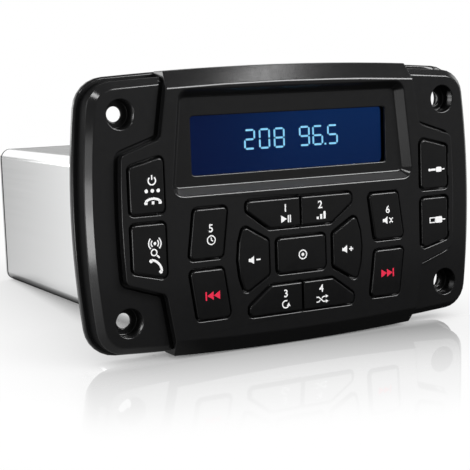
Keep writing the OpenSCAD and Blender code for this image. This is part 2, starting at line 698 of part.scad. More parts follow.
// Front panel with its ears, sloped bands, display recess and key openings
module front_panel() {
  color(colour_black)
    difference() {
      union() {
        difference() {
          intersection() {
            union() {
              plate(soft(panel_line, panel_line_r), front_y, pad_y);
              for (s = [-1, 1])
                intersection() {
                  plate(soft(panel_line, panel_line_r), front_y, band_back_y);
                  plate(box(face_w, 2 * band_t, 0, s * (band_z + band_t)), front_y, band_back_y);
                }
            }
            band_limit(1);
            band_limit(-1);
          }
          intersection() {
            plate(soft(panel_line, panel_line_r, seat_w), panel_back_y, pad_y + cut);
            plate(box(face_w, 2 * cavity_z), panel_back_y, pad_y + cut);
          }
        }
        plate(recess_ring(0.4), front_y + panel_t / 2, recess_back_y);
        for (p = post_places)
          bar(p, panel_back_y - panel_t / 2, board_y, post_r);
      }
      skin([recess_ring(recess_slope), recess_ring(-recess_slope / recess_depth)], [recess_y, front_y - 1]);
      through(round_box(window_w, window_h, window_r, 0, window_z), recess_y, recess_back_y);
      key_openings(front_y - cut, panel_back_y + cut);
      for (p = post_places)
        bar(p, board_y - small_screw_len + cut, board_y + cut, small_screw_d / 2 + screw_gap);
      for (p = panel_screw_places)
        bar(p, band_back_y - small_screw_len, band_back_y + cut, small_screw_d / 2 + screw_gap);
    }
}

// Screws that hold the panel's bands to the flange
module panel_screws() {
  color(colour_steel)
    for (p = panel_screw_places)
      screw(p, flange_back_y - small_head_h, small_screw_d, small_head_d, small_head_h, -small_screw_len);
}

// Seal between the recess's floor and the lens
module lens_seal() {
  color(colour_rubber)
    difference() {
      plate(box(lens_size.x, lens_size.y, 0, window_z), recess_back_y, lens_y);
      through(box(lens_size.x - 2 * lens_seal_w, lens_size.y - 2 * lens_seal_w, 0, window_z),
        recess_back_y, lens_y);
    }
}

// Clear window in front of the display
module display_lens() {
  color("#7d93b8", 0.4)
    plate(box(lens_size.x, lens_size.y, 0, window_z), lens_y, lens_back_y);
}

// Blue liquid crystal glass
module lcd_glass() {
  color("#0d2050")
    plate(box(glass_size.x, glass_size.y, 0, window_z), lens_back_y, glass_back_y);
}

// Light guide behind the glass
module light_guide() {
  color("#e8ecf4")
    plate(box(glass_size.x, glass_size.y, 0, window_z), glass_back_y, board_y);
}

// Frame on the control board that holds the display and the lens
module display_frame() {
  color(colour_black)
    difference() {
      plate(box(frame_size.x, frame_size.y, 0, window_z), recess_back_y, board_y);
      plate(box(lens_size.x + fit_gap, lens_size.y + fit_gap, 0, window_z), recess_back_y - cut, lens_back_y);
      through(box(glass_size.x + fit_gap, glass_size.y + fit_gap, 0, window_z), recess_back_y, board_y);
    }
}

// Silicone web that seals around the keys behind the panel
module keypad_web() {
  web_top = recess_bottom_z - 0.5;
  web_back_y = panel_back_y + web_t;
  middle_h = cavity_z + web_top;
  ear_edge = recess_bottom_x + fit_gap;
  color(colour_rubber)
    difference() {
      intersection() {
        plate(soft(panel_line, panel_line_r, seat_w + fit_gap), panel_back_y, web_back_y);
        union() {
          plate(box(face_w, middle_h, 0, web_top - middle_h / 2), panel_back_y, web_back_y);
          plate(box(face_w / 2, 2 * ear_inner_z, -ear_edge - face_w / 4, 0), panel_back_y, web_back_y);
        }
      }
      through(box(face_w, 2 * face_h, ear_edge + face_w / 2, 0), panel_back_y, web_back_y);
      for (k = key_table)
        through(soft(k[1], k[2], -key_flange_w - web_gap), panel_back_y, web_back_y);
      for (p = post_places)
        bore(p, panel_back_y, web_back_y, post_r + web_gap);
    }
}

// One key: cap, flange behind the panel and stem over its switch
module key(name) {
  row = key_row(name);
  line = row[1];
  paired = abs(line[0].x) <= key_slit || abs(line[len(line) - 1].x) <= key_slit;
  flange_y = panel_back_y + key_flange_t;
  bay_x = paired ? sign(row[3].x) * (face_w + key_slit) / 2 : row[3].x;
  color(colour_rubber) {
    soft_cap(line, row[2], panel_back_y, key_edge);
    intersection() {
      plate(soft(line, row[2], -key_flange_w), panel_back_y, flange_y);
      plate(box(face_w, 2 * face_h, bay_x), panel_back_y, flange_y);
    }
    bar(row[3], panel_back_y, stem_back_y, stem_d / 2);
  }
}

// Hinged rubber cover of a port, with its plug behind it
module port_cover(line) {
  color(colour_rubber) {
    soft_cap(line, plain_r, key_top_y + cover_t, key_edge);
    children();
  }
}

// Cover of the headphone jack
module aux_cover() {
  port_cover(outer_line(outer_w - hinge_gap))
    bar([port_x, jack_z], key_top_y + cover_t / 2, port_y + plug_reach, jack_bore_d / 3);
}

// Cover of the USB port
module usb_cover() {
  port_cover(flip_z(outer_line(outer_w - hinge_gap)))
    plate(box(usb_shell_w / 2 - usb_shell_t, usb_shell_h - 6 * usb_shell_t, port_x, -usb_z),
      key_top_y + cover_t / 2, port_y + plug_reach);
}

// Rubber strips with a round bead, on which the port covers turn
module cover_hinges() {
  strip_x = outer_inner_x + outer_w + key_gap - strip_t / 2 - screw_gap;
  bead_y = key_top_y + fit_gap + strip_t / 2;
  color(colour_rubber)
    for (z = [jack_z, -usb_z]) {
      plate(box(strip_t, strip_len, strip_x, z), bead_y, panel_back_y);
      translate([strip_x, bead_y, z - strip_len / 2])
        cylinder(h = strip_len, d = strip_t);
    }
}

// Plate that closes the panel around the ports
module port_plate() {
  plate_in = outer_inner_x - 2 * key_gap - fit_gap;
  plate_h = 2 * (outer_high_z + 2 * key_gap);
  plate_back_y = panel_back_y + port_plate_t;
  color(colour_black)
    difference() {
      intersection() {
        plate(soft(panel_line, panel_line_r, seat_w + screw_gap), panel_back_y, plate_back_y);
        plate(box(face_w, plate_h, plate_in + face_w / 2), panel_back_y, plate_back_y);
      }
      bore([port_x, jack_z], panel_back_y, plate_back_y, jack_collar_d / 2 + screw_gap);
      through(box(usb_shell_w + fit_gap, usb_shell_h + fit_gap, port_x, -usb_z), panel_back_y, plate_back_y);
    }
}

// Headphone jack
module aux_jack() {
  body_y = panel_back_y + port_plate_t;
  color(colour_black)
    difference() {
      union() {
        plate(box(jack_body, jack_body, port_x, jack_z), body_y, wall_y);
        bar([port_x, jack_z], port_y, body_y, jack_collar_d / 2);
      }
      bar([port_x, jack_z], port_y - cut, wall_y - 1, jack_bore_d / 2);
    }
}

// Steel shell of the USB socket
module usb_socket() {
  color(colour_steel)
    difference() {
      plate(box(usb_shell_w, usb_shell_h, port_x, -usb_z), port_y, wall_y);
      plate(box(usb_shell_w - 2 * usb_shell_t, usb_shell_h - 2 * usb_shell_t, port_x, -usb_z),
        port_y - cut, wall_y - usb_shell_t);
    }
}

// Contact tongue inside the USB socket
module usb_tongue() {
  tongue_x = port_x + usb_shell_w / 2 - usb_shell_t - tongue_t / 2 - 0.3;
  color("#e9e9e4")
    plate(box(tongue_t, usb_shell_h - 4 * usb_shell_t, tongue_x, -usb_z),
      port_y + plug_reach + 1, wall_y - usb_shell_t);
}

// Circuit board behind the keys and the display
module control_board() {
  color(colour_board)
    difference() {
      intersection() {
        plate(soft(panel_line, panel_line_r, seat_w + board_gap), board_y, board_back_y);
        plate(box(face_w, 2 * (cavity_z - board_gap)), board_y, board_back_y);
      }
      for (p = post_places)
        bore(p, board_y, board_back_y, small_screw_d / 2 + screw_gap);
      through(box(jack_body + fit_gap, jack_body + fit_gap, port_x, jack_z), board_y, board_back_y);
      through(box(usb_shell_w + fit_gap, usb_shell_h + fit_gap, port_x, -usb_z), board_y, board_back_y);
    }
}

// Push switches, one behind each key
module key_switches() {
  color("#3a3a3c")
    for (k = key_table) {
      plate(box(switch_w, switch_w, k[3].x, k[3].y), board_y - switch_h, board_y);
      bar(k[3], plunger_y, board_y - switch_h, plunger_d / 2);
    }
}

// Small lamps that light the keys
module key_lamps() {
  lamp = [1.6, 0.8];
  color("#f4f2df")
    for (k = key_table)
      plate(box(lamp.x, lamp.y, k[3].x, k[3].y - switch_w / 2 - 2 * lamp.y), board_y - lamp.y, board_y);
}

// Screws that hold the control board to the panel's posts
module control_board_screws() {
  color(colour_steel)
    for (p = post_places)
      screw(p, board_back_y, small_screw_d, small_head_d, small_head_h, -small_screw_len);
}

// Plug block between the control board and the main board
module board_link() {
  color("#e6e3d6")
    block(0, board_back_y, link_size);
}

// Seal outline shared by both ends of the sleeve
module end_seal(y) {
  color(colour_foam)
    difference() {
      plate(round_box(sleeve_w, sleeve_h, sleeve_r, 0, sleeve_z), y, y + end_seal_t);
      through(box(sleeve_w - 2 * end_seal_w, sleeve_h - 2 * end_seal_w, 0, sleeve_z), y, y + end_seal_t);
      for (p = channel_places)
        bore(p, y, y + end_seal_t, channel_screw_d / 2 + screw_gap);
    }
}

// Seal between the flange and the sleeve
module sleeve_seal() {
  end_seal(flange_back_y);
}

// Extruded sleeve with screw channels and ribs for the main board
module housing_sleeve() {
  rib_z = [main_board_z - board_t - guide_rib / 2, main_board_z + fit_gap + guide_rib / 2];
  rib_w = guide_reach + sleeve_wall / 2;
  rib_x = inner_w / 2 + sleeve_wall / 2 - rib_w / 2;
  color(colour_silver)
    difference() {
      union() {
        difference() {
          plate(round_box(sleeve_w, sleeve_h, sleeve_r, 0, sleeve_z), sleeve_y, sleeve_end_y);
          through(round_box(inner_w, sleeve_h - 2 * sleeve_wall, sleeve_r - sleeve_wall, 0, sleeve_z),
            sleeve_y, sleeve_end_y);
        }
        for (p = channel_places)
          bar(p, sleeve_y, sleeve_end_y, channel_d / 2);
        for (s = [-1, 1], z = rib_z)
          plate(box(rib_w, guide_rib, s * rib_x, z), sleeve_y, sleeve_end_y);
      }
      for (p = channel_places)
        bore(p, sleeve_y, sleeve_end_y, channel_screw_d / 2 + screw_gap);
    }
}

// Countersunk screws that hold the sleeve to the flange
module sleeve_screws() {
  color(colour_steel)
    for (p = channel_places) {
      bar(p, wall_y, wall_y + countersink, channel_head_d / 2 - screw_gap, channel_screw_d / 2 - screw_gap);
      bar(p, wall_y, wall_y + channel_screw_len, channel_screw_d / 2);
    }
}

// Seal between the sleeve and the rear plate
module rear_seal() {
  end_seal(sleeve_end_y);
}

// Rear plate with the windows for the fittings
module rear_plate() {
  color(colour_silver)
    difference() {
      plate(round_box(sleeve_w, sleeve_h, sleeve_r, 0, sleeve_z), rear_y, rear_face_y);
      for (p = channel_places)
        bore(p, rear_y, rear_face_y, channel_screw_d / 2 + screw_gap);
      through(box(harness_w + fit_gap, harness_h + fit_gap, harness_x, main_board_z + harness_h / 2),
        rear_y, rear_face_y);
      bore([antenna_x, antenna_z], rear_y, rear_face_y, antenna_d / 2 + screw_gap);
      through(box(holder_w + fit_gap, holder_h + fit_gap, fuse_x, main_board_z + holder_h / 2),
        rear_y, rear_face_y);
    }
}

// Screws that hold the rear plate
module rear_screws() {
  color(colour_steel)
    for (p = channel_places)
      screw(p, rear_face_y, channel_screw_d, channel_head_d, channel_screw_d * 0.6, -channel_screw_len);
}

// Main circuit board on the sleeve's ribs
module main_board() {
  start_y = flange_back_y + 3;
  end_y = rear_y - spreader_t - board_gap;
  color(colour_board)
    block(0, start_y, [inner_w - board_gap, end_y - start_y, board_t], main_board_z - board_t);
}

// Plate that carries the amplifier's heat to the rear plate
module heat_spreader() {
  color(colour_silver)
    difference() {
      block(spreader_x, rear_y - spreader_t, [spreader_w, spreader_t, spreader_h]);
      for (p = clip_places)
        bar(p, rear_y - spreader_t - cut, rear_y + cut, small_screw_d / 2 + screw_gap);
    }
}
// Amplifier chip with its legs
module amplifier_chip() {
  legs = 12;
  leg = 0.7;
  color("#161617") {
    block(spreader_x, chip_y, [chip_w, chip_t, chip_h], main_board_z + chip_lift);
    for (k = [0 : legs - 1])
      block(spreader_x + (k - (legs - 1) / 2) * chip_w / (legs + 1), chip_y + 1, [leg, leg, chip_lift]);
  }
}

// Spring clip that presses the chip to the spreader
module amplifier_clip() {
  color(colour_steel)
    difference() {
      union() {
        block(spreader_x, clip_y, [spreader_w, clip_t, clip_h], clip_z - clip_h / 2);
        for (s = [-1, 1])
          block(spreader_x + s * (spreader_w - clip_foot) / 2, clip_y,
            [clip_foot, clip_t + chip_t, clip_h], clip_z - clip_h / 2);
      }
      for (p = clip_places)
        bar(p, clip_y - cut, rear_y, small_screw_d / 2 + screw_gap);
    }
}

// Screws of the spring clip
module clip_screws() {
  color(colour_steel)
    for (p = clip_places)
      screw(p, clip_y, small_screw_d, small_head_d, small_head_h, clip_t + chip_t + spreader_t - 1);
}

// Shielded tuner beside the antenna socket
module tuner_can() {
  antenna_y = rear_face_y + antenna_proud - antenna_depth - socket_floor;
  color(colour_steel)
    block(antenna_x, antenna_y - tuner_len, [antenna_d + wall_gap, tuner_len, tuner_h]);
}

// Wireless module for calls and music
module wireless_module() {
  module_x = -spreader_w / 2 - wireless_w / 2;
  module_y = flange_back_y + wireless_front;
  base_t = wireless_h / 3;
  shield = [wireless_w * 0.7, wireless_len * 0.6, wireless_h - base_t];
  color("#2f6f8f") {
    block(module_x, module_y, [wireless_w, wireless_len, base_t]);
    block(module_x, module_y + wireless_len * 0.3, shield, main_board_z + base_t);
  }
}

// Supply capacitors
module supply_capacitors() {
  row_y = rear_y - capacitor_back;
  color("#26344d") {
    translate([-part_gap - big_cap_d / 2, row_y, main_board_z])
      cylinder(h = big_cap_h, d = big_cap_d);
    for (k = [0 : 2])
      translate([part_gap + small_cap_d / 2 + k * (small_cap_d + part_gap), row_y, main_board_z])
        cylinder(h = small_cap_h, d = small_cap_d);
  }
}

// Ring choke in the supply
module filter_choke() {
  choke_x = -2 * part_gap - big_cap_d - choke_r - choke_t / 2;
  color("#8a5a2b")
    translate([choke_x, rear_y - capacitor_back, main_board_z + choke_t / 2])
      rotate_extrude()
        translate([choke_r, 0])
          circle(d = choke_t);
}

// Shrouded socket for the wiring harness
module harness_socket() {
  end_y = rear_face_y + harness_proud;
  start_y = end_y - harness_depth - socket_floor;
  color("#26282b")
    difference() {
      block(harness_x, start_y, [harness_w, end_y - start_y, harness_h]);
      block(harness_x, end_y - harness_depth,
        [harness_w - 2 * harness_wall, harness_depth + cut, harness_h - 2 * harness_wall],
        main_board_z + harness_wall);
    }
}

// Pins of the harness socket, in two rows
module harness_pins() {
  pin = 1;
  columns = 8;
  spacing = (harness_w - 4 * harness_wall) / columns;
  end_y = rear_face_y + harness_proud;
  color("#c9a54a")
    for (k = [0 : columns - 1], s = [-1, 1])
      block(harness_x + (k - (columns - 1) / 2) * spacing, end_y - harness_depth,
        [pin, harness_pin_len, pin], main_board_z + harness_h / 2 + s * harness_h / 6 - pin / 2);
}

// Antenna socket
module antenna_socket() {
  place = [antenna_x, antenna_z];
  end_y = rear_face_y + antenna_proud;
  color(colour_steel)
    difference() {
      bar(place, end_y - antenna_depth - socket_floor, end_y, antenna_d / 2);
      bar(place, end_y - antenna_depth, end_y + cut, antenna_bore_d / 2);
    }
}

// Holder of the blade fuse
module fuse_holder() {
  hollow_y = rear_face_y + 2 - fuse_size.y;
  color("#26282b")
    difference() {
      block(fuse_x, hollow_y - 3 * holder_wall, [holder_w, fuse_size.y + 3 * holder_wall, holder_h]);
      block(fuse_x, hollow_y, [fuse_size.x, fuse_size.y + cut, fuse_size.z], main_board_z + holder_wall);
    }
}

// Blade fuse in its holder
module blade_fuse() {
  color("#c2452d")
    block(fuse_x, rear_face_y + 2 - fuse_size.y, fuse_size - 2 * [fit_gap, 0, fit_gap],
      main_board_z + holder_wall + fit_gap);
}

mounting_gasket();
mounting_flange();
front_panel();
panel_screws();
lens_seal();
display_lens();
lcd_glass();
light_guide();
display_frame();
keypad_web();
key("key_power");  // key_power
key("key_band");  // key_band
key("key_1");  // key_1
key("key_2");  // key_2
key("key_3");  // key_3
key("key_4");  // key_4
key("key_5");  // key_5
key("key_6");  // key_6
key("key_previous");  // key_previous
key("key_next");  // key_next
key("key_volume_down");  // key_volume_down
key("key_volume_up");  // key_volume_up
key("key_select");  // key_select
aux_cover();
usb_cover();
cover_hinges();
port_plate();
aux_jack();
usb_socket();
usb_tongue();
control_board();
key_switches();
key_lamps();
control_board_screws();
board_link();
sleeve_seal();
housing_sleeve();
sleeve_screws();
rear_seal();
rear_plate();
rear_screws();
main_board();
amplifier_chip();
heat_spreader();
amplifier_clip();
clip_screws();
tuner_can();
wireless_module();
supply_capacitors();
filter_choke();
harness_socket();
harness_pins();
antenna_socket();
fuse_holder();
blade_fuse();
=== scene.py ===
import json
import math

import bmesh
import bpy
from mathutils import Matrix, Vector

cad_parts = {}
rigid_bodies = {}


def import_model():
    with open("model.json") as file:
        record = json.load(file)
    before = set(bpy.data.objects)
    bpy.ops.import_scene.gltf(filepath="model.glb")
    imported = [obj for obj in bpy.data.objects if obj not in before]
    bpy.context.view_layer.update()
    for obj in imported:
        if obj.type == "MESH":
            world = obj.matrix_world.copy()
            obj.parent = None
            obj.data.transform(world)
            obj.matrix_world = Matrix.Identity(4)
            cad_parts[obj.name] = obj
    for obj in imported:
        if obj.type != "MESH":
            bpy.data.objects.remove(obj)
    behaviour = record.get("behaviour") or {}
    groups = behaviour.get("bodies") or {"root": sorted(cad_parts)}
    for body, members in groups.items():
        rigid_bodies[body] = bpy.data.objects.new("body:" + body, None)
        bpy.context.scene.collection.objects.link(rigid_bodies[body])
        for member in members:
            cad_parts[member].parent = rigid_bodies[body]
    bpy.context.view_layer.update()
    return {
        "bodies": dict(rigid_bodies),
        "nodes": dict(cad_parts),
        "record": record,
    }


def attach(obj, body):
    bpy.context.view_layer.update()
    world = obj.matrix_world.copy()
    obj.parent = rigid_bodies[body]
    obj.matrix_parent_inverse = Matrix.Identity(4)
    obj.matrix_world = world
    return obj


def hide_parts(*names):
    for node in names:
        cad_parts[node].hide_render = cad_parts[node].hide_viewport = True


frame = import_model()
nodes = frame["nodes"]
mm = 0.001
rootBody = "stereo"


def link(obj):
    bpy.context.scene.collection.objects.link(obj)
    return obj


# camera at the photograph's angle
shot = {
    "place": (-0.220158, -0.380099, 0.044202),
    "turn": (82.8014, 2.0326, -28.3251),  # degrees
    "lens": 95.88,
    "sensor": 36.0,
    "clip": (0.01, 20.0),
}


def makeCamera():
    data = bpy.data.cameras.new("shotCamera")
    data.lens = shot["lens"]
    data.sensor_width = shot["sensor"]
    data.clip_start, data.clip_end = shot["clip"]
    camera = link(bpy.data.objects.new("shotCamera", data))
    camera.location = shot["place"]
    camera.rotation_euler = [math.radians(a) for a in shot["turn"]]
    bpy.context.scene.camera = camera


makeCamera()
print("camera placed")


# short ways to build node trees
def feed(tree, term, socket):
    if isinstance(term, float):
        socket.default_value = term
    else:
        tree.links.new(term, socket)


def emptyTree(block, kind):
    block.use_nodes = True
    tree = block.node_tree
    tree.nodes.clear()
    return tree, tree.nodes.new(kind).inputs[0]


def sumNode(tree, operation, *terms):
    node = tree.nodes.new("ShaderNodeMath")
    node.operation = operation
    for term, socket in zip(terms, node.inputs):
        feed(tree, term, socket)
    return node.outputs[0]


def spanNode(tree, value, reach, share=(0.0, 1.0), smoothly=False):
    span = tree.nodes.new("ShaderNodeMapRange")
    span.interpolation_type = "SMOOTHSTEP" if smoothly else "LINEAR"
    span.inputs["From Min"].default_value, span.inputs["From Max"].default_value = reach
    span.inputs["To Min"].default_value, span.inputs["To Max"].default_value = share
    tree.links.new(value, span.inputs["Value"])
    return span.outputs[0]


def alongNode(tree, place, way, reach, share, smoothly=False):
    dot = tree.nodes.new("ShaderNodeVectorMath")
    dot.operation = "DOT_PRODUCT"
    dot.inputs[1].default_value = way
    tree.links.new(place, dot.inputs[0])
    return spanNode(tree, dot.outputs["Value"], reach, share, smoothly)


def splitNode(tree, vector):
    split = tree.nodes.new("ShaderNodeSeparateXYZ")
    tree.links.new(vector, split.inputs[0])
    return split.outputs


def toneNode(tree, share, dark, light):
    tone = tree.nodes.new("ShaderNodeMix")
    tone.data_type = "RGBA"
    tone.inputs[6].default_value, tone.inputs[7].default_value = (*dark, 1), (*light, 1)  # colour sockets
    tree.links.new(share, tone.inputs[0])
    return tone.outputs[2]


def whiteNode(tree, kind, strength):
    white = tree.nodes.new(kind)
    white.inputs["Color"].default_value = (1, 1, 1, 1)
    feed(tree, strength, white.inputs["Strength"])
    return white.outputs[0]


def mixNode(tree, share, first, second):
    mix = tree.nodes.new("ShaderNodeMixShader")
    for source, socket in zip((share, first, second), mix.inputs):
        tree.links.new(source, socket)
    return mix.outputs[0]


def nearNode(tree, distance):
    near = tree.nodes.new("ShaderNodeAmbientOcclusion")  # 1 in the open, less close to the object
    near.inputs["Distance"].default_value = distance
    return near.outputs["AO"]


def placeNode(tree):
    return tree.nodes.new("ShaderNodeTexCoord").outputs["Object"]


# studio: white surroundings, dark in front of the face, so that the black plastic stays black
studio = {
    "fill": 0.45,  # what lights the object from all around
    "frontGlow": 0.15,  # what gloss sees in front of the face
    "backGlow": 1.25,  # the brightest place behind the object
    "front": (-0.3, 0.4),  # directions along Y between dark and bright
    # direction's Z and share of backGlow
    "heights": ((0.0, 0.3), (0.11, 0.32), (0.2, 0.95), (0.4, 0.9), (0.6, 0.14)),
}


def makeWorld():
    world = bpy.data.worlds.new("studioWorld")
    bpy.context.scene.world = world
    tree, out = emptyTree(world, "ShaderNodeOutputWorld")
    ray = tree.nodes.new("ShaderNodeLightPath").outputs
    way = splitNode(tree, tree.nodes.new("ShaderNodeTexCoord").outputs["Generated"])
    depth = spanNode(tree, way["Y"], studio["front"], smoothly=True)
    rise = tree.nodes.new("ShaderNodeValToRGB")
    tree.links.new(way["Z"], rise.inputs[0])
    for k, (height, share) in enumerate(studio["heights"]):
        stop = rise.color_ramp.elements[k] if k < 2 else rise.color_ramp.elements.new(height)
        stop.position, stop.color = height, (share, share, share, 1)
    glow = tree.nodes.new("ShaderNodeMix")
    glow.inputs["A"].default_value = studio["frontGlow"]
    tree.links.new(depth, glow.inputs["Factor"])
    tree.links.new(sumNode(tree, "MULTIPLY", rise.outputs[0], studio["backGlow"]), glow.inputs["B"])
    fill = whiteNode(tree, "ShaderNodeBackground", studio["fill"])
    gloss = whiteNode(tree, "ShaderNodeBackground", glow.outputs[0])  # what metal and gloss see
    seen = whiteNode(tree, "ShaderNodeBackground", 1.0)  # what the camera sees
    shiny = sumNode(tree, "MAXIMUM", ray["Is Glossy Ray"], ray["Is Transmission Ray"])
    # glass shows the white only behind the object
    through = sumNode(tree, "MULTIPLY", ray["Is Transmission Ray"], depth)
    clear = sumNode(tree, "MAXIMUM", ray["Is Camera Ray"], through)
    tree.links.new(mixNode(tree, clear, mixNode(tree, shiny, fill, gloss), seen), out)


# most lamps stand where an edge or a face of the object mirrors them into the camera
lamps = {
    # light from above
    "overhead": {"place": (0.42, 0.15, 0.78), "size": (0.35, 0.2), "glow": 3.4},
    # middle of the top band
    "bandGlow": {"place": (0.414, -0.292, 0.763), "size": (0.08, 0.05), "glow": 11.5},
    # upper edges of pads and keys
    "edgeStrip": {"place": (0.457, -0.629, 0.43), "size": (0.5, 0.41), "glow": 12.0},
    # left bevel, bright at the foot
    "leftLow": {"place": (-0.15, -0.04, -0.017), "size": (0.024, 0.0237), "glow": 8.0},
    "leftMiddle": {"place": (-0.15, -0.04, 0.003), "size": (0.024, 0.016), "glow": 5.0},
    "leftUpper": {"place": (-0.15, -0.04, 0.022), "size": (0.024, 0.0225), "glow": 1.7},
    # housing and the lip's left edge
    "leftBack": {"place": (-0.55, 0.90, 0.17), "size": (0.35, 0.28), "glow": 3.0},
    # upper left corners
    "cornerSpot": {"place": (-0.535, -0.251, 0.647), "size": (0.15, 0.15), "glow": 13.0},
}
lampAim = (0.0, 0.0, 0.0)


def makeLamp(name, lamp):
    data = bpy.data.lights.new(name + "Lamp", "AREA")
    data.shape = "RECTANGLE"
    data.size, data.size_y = lamp["size"]
    data.energy = lamp["glow"] * math.pi * data.size * data.size_y  # radiance to watts
    light = link(bpy.data.objects.new(name + "Lamp", data))
    aim = Vector(lampAim) - Vector(lamp["place"])
    light.location = lamp["place"]
    light.visible_camera = False
    light.rotation_euler = aim.to_track_quat("-Z", "Y").to_euler()


# floor: white paper with a faint mirror image close to the face
ground = {
    "touchFront": (-3.8, -48.1),  # the face's lowest edge, y and z in mm
    "touchBack": (132.6, -38.2),  # the housing's rear bottom edge
    "frontEdge": -0.26,
    "backEdge": 2.2,
    "halfWidth": 1.8,
    "paper": (0.9, 0.9, 0.9),
    "centre": (0.0, 0.06, -0.045),  # under the object
    "backWay": (0.0, 1.0, 0.0),
    "mirror": 0.57,  # share of mirror image at the face
    "mirrorWay": (0.3, 1.0, 0.0),  # from the camera to the object
    "mirrorFade": 0.049,  # metres over which the share falls to a third
    "mirrorEnd": (-0.105, -0.07),  # along that way between none and full
    "mirrorBack": (-0.014, -0.004),  # along Y between full and none
    "mirrorLeft": (0.95, -0.313, 0.0),  # none to the left of the face
    "mirrorEdge": (-0.080, -0.070),
    "mirrorReach": (0.12, 0.24),  # metres from the centre between full and none
    "nearShade": 0.05,  # reach of the soft shade below the object
    "nearDepth": 0.35,  # 1 is its full darkness
    "shade": 0.08,  # share of lit paper, the rest is plain white
    "shadeReach": (0.10, 0.30),
    "rough": 0.035,
    "bounce": (0.03, 1.0),  # paper as the object sees it, in front of the face and behind it
    "bounceWay": (-0.8, 0.6, 0.0),  # from dark to bright at the left
    "bounceReach": (0.02, 0.13),
    "bounceBack": (0.6, 0.8, 0.0),  # from dark to bright at the right
    "bounceBackReach": (0.10, 0.25),
    "sideWay": (0.938, 0.346, 0.0),  # paper that the housing's side mirrors, from its front to its rear
    "sideReach": (-0.055, 0.005),
    "sideTone": (1.0, 0.5),
    "contact": 0.016,  # reach of the dark line where the housing stands
    "contactDepth": (0.0, 3.0),  # close to the flange and further back
    "contactReach": (0.045, 0.06),
}


def mirrorShare(tree, place, away):
    fall = 1 / ground["mirrorFade"]
    far = alongNode(tree, place, ground["mirrorWay"], (-1.0, 1.0), (-fall, fall))
    share = sumNode(tree, "MULTIPLY", sumNode(tree, "EXPONENT", far), ground["mirror"])
    share = sumNode(tree, "MINIMUM", share, ground["mirror"])
    for way, reach, ends in ((ground["mirrorWay"], ground["mirrorEnd"], (0.0, 1.0)),
                             (ground["backWay"], ground["mirrorBack"], (1.0, 0.0)),
                             (ground["mirrorLeft"], ground["mirrorEdge"], (0.0, 1.0))):
        share = sumNode(tree, "MULTIPLY", share, alongNode(tree, place, way, reach, ends, True))
    return sumNode(tree, "MULTIPLY", share, spanNode(tree, away, ground["mirrorReach"], (1.0, 0.0), True))


def bounceLevel(tree, place):
    left = alongNode(tree, place, ground["bounceWay"], ground["bounceReach"], ground["bounce"])
    right = alongNode(tree, place, ground["bounceBack"], ground["bounceBackReach"], ground["bounce"])
    side = alongNode(tree, place, ground["sideWay"], ground["sideReach"], ground["sideTone"])
    level = sumNode(tree, "MULTIPLY", sumNode(tree, "MAXIMUM", left, right), side)
    depth = alongNode(tree, place, ground["backWay"], ground["contactReach"], ground["contactDepth"])
    contact = sumNode(tree, "POWER", nearNode(tree, ground["contact"]), depth)
    return sumNode(tree, "MULTIPLY", level, contact)


def floorMaterial():
    mat = bpy.data.materials.new("whiteFloor")
    tree, out = emptyTree(mat, "ShaderNodeOutputMaterial")
    ray = tree.nodes.new("ShaderNodeLightPath").outputs
    place = placeNode(tree)
    paper = tree.nodes.new("ShaderNodeBsdfDiffuse")
    paper.inputs["Color"].default_value = (*ground["paper"], 1)
    mirror = tree.nodes.new("ShaderNodeBsdfGlossy")
    mirror.inputs["Roughness"].default_value = ground["rough"]
    distance = tree.nodes.new("ShaderNodeVectorMath")
    distance.operation = "DISTANCE"
    distance.inputs[1].default_value = ground["centre"]
    tree.links.new(place, distance.inputs[0])
    away = distance.outputs["Value"]
    near = sumNode(tree, "POWER", nearNode(tree, ground["nearShade"]), ground["nearDepth"])
    white = whiteNode(tree, "ShaderNodeEmission", near)
    bounce = whiteNode(tree, "ShaderNodeEmission", bounceLevel(tree, place))
    lit = spanNode(tree, away, ground["shadeReach"], (ground["shade"], 0.0), True)
    shaded = mixNode(tree, lit, white, paper.outputs[0])
    mirrored = mixNode(tree, mirrorShare(tree, place, away), shaded, mirror.outputs[0])
    tree.links.new(mixNode(tree, ray["Is Camera Ray"], bounce, mirrored), out)
    return mat


def makeGround():
    (y0, z0), (y1, z1) = ground["touchFront"], ground["touchBack"]
    slope = (z1 - z0) / (y1 - y0)
    level = z0 * mm - y0 * mm * slope
    w, front, back = ground["halfWidth"], ground["frontEdge"], ground["backEdge"]
    corners = [(-w, front), (w, front), (w, back), (-w, back)]
    mesh = bpy.data.meshes.new("studioFloor")
    mesh.from_pydata([(x, y, level + slope * y) for x, y in corners], [], [(0, 1, 2, 3)])
    mesh.materials.append(floorMaterial())
    floor = link(bpy.data.objects.new("studioFloor", mesh))


makeWorld()
for lampName, lamp in lamps.items():
    makeLamp(lampName, lamp)
makeGround()
bpy.context.scene.view_settings.view_transform = "Standard"
print("studio lit")

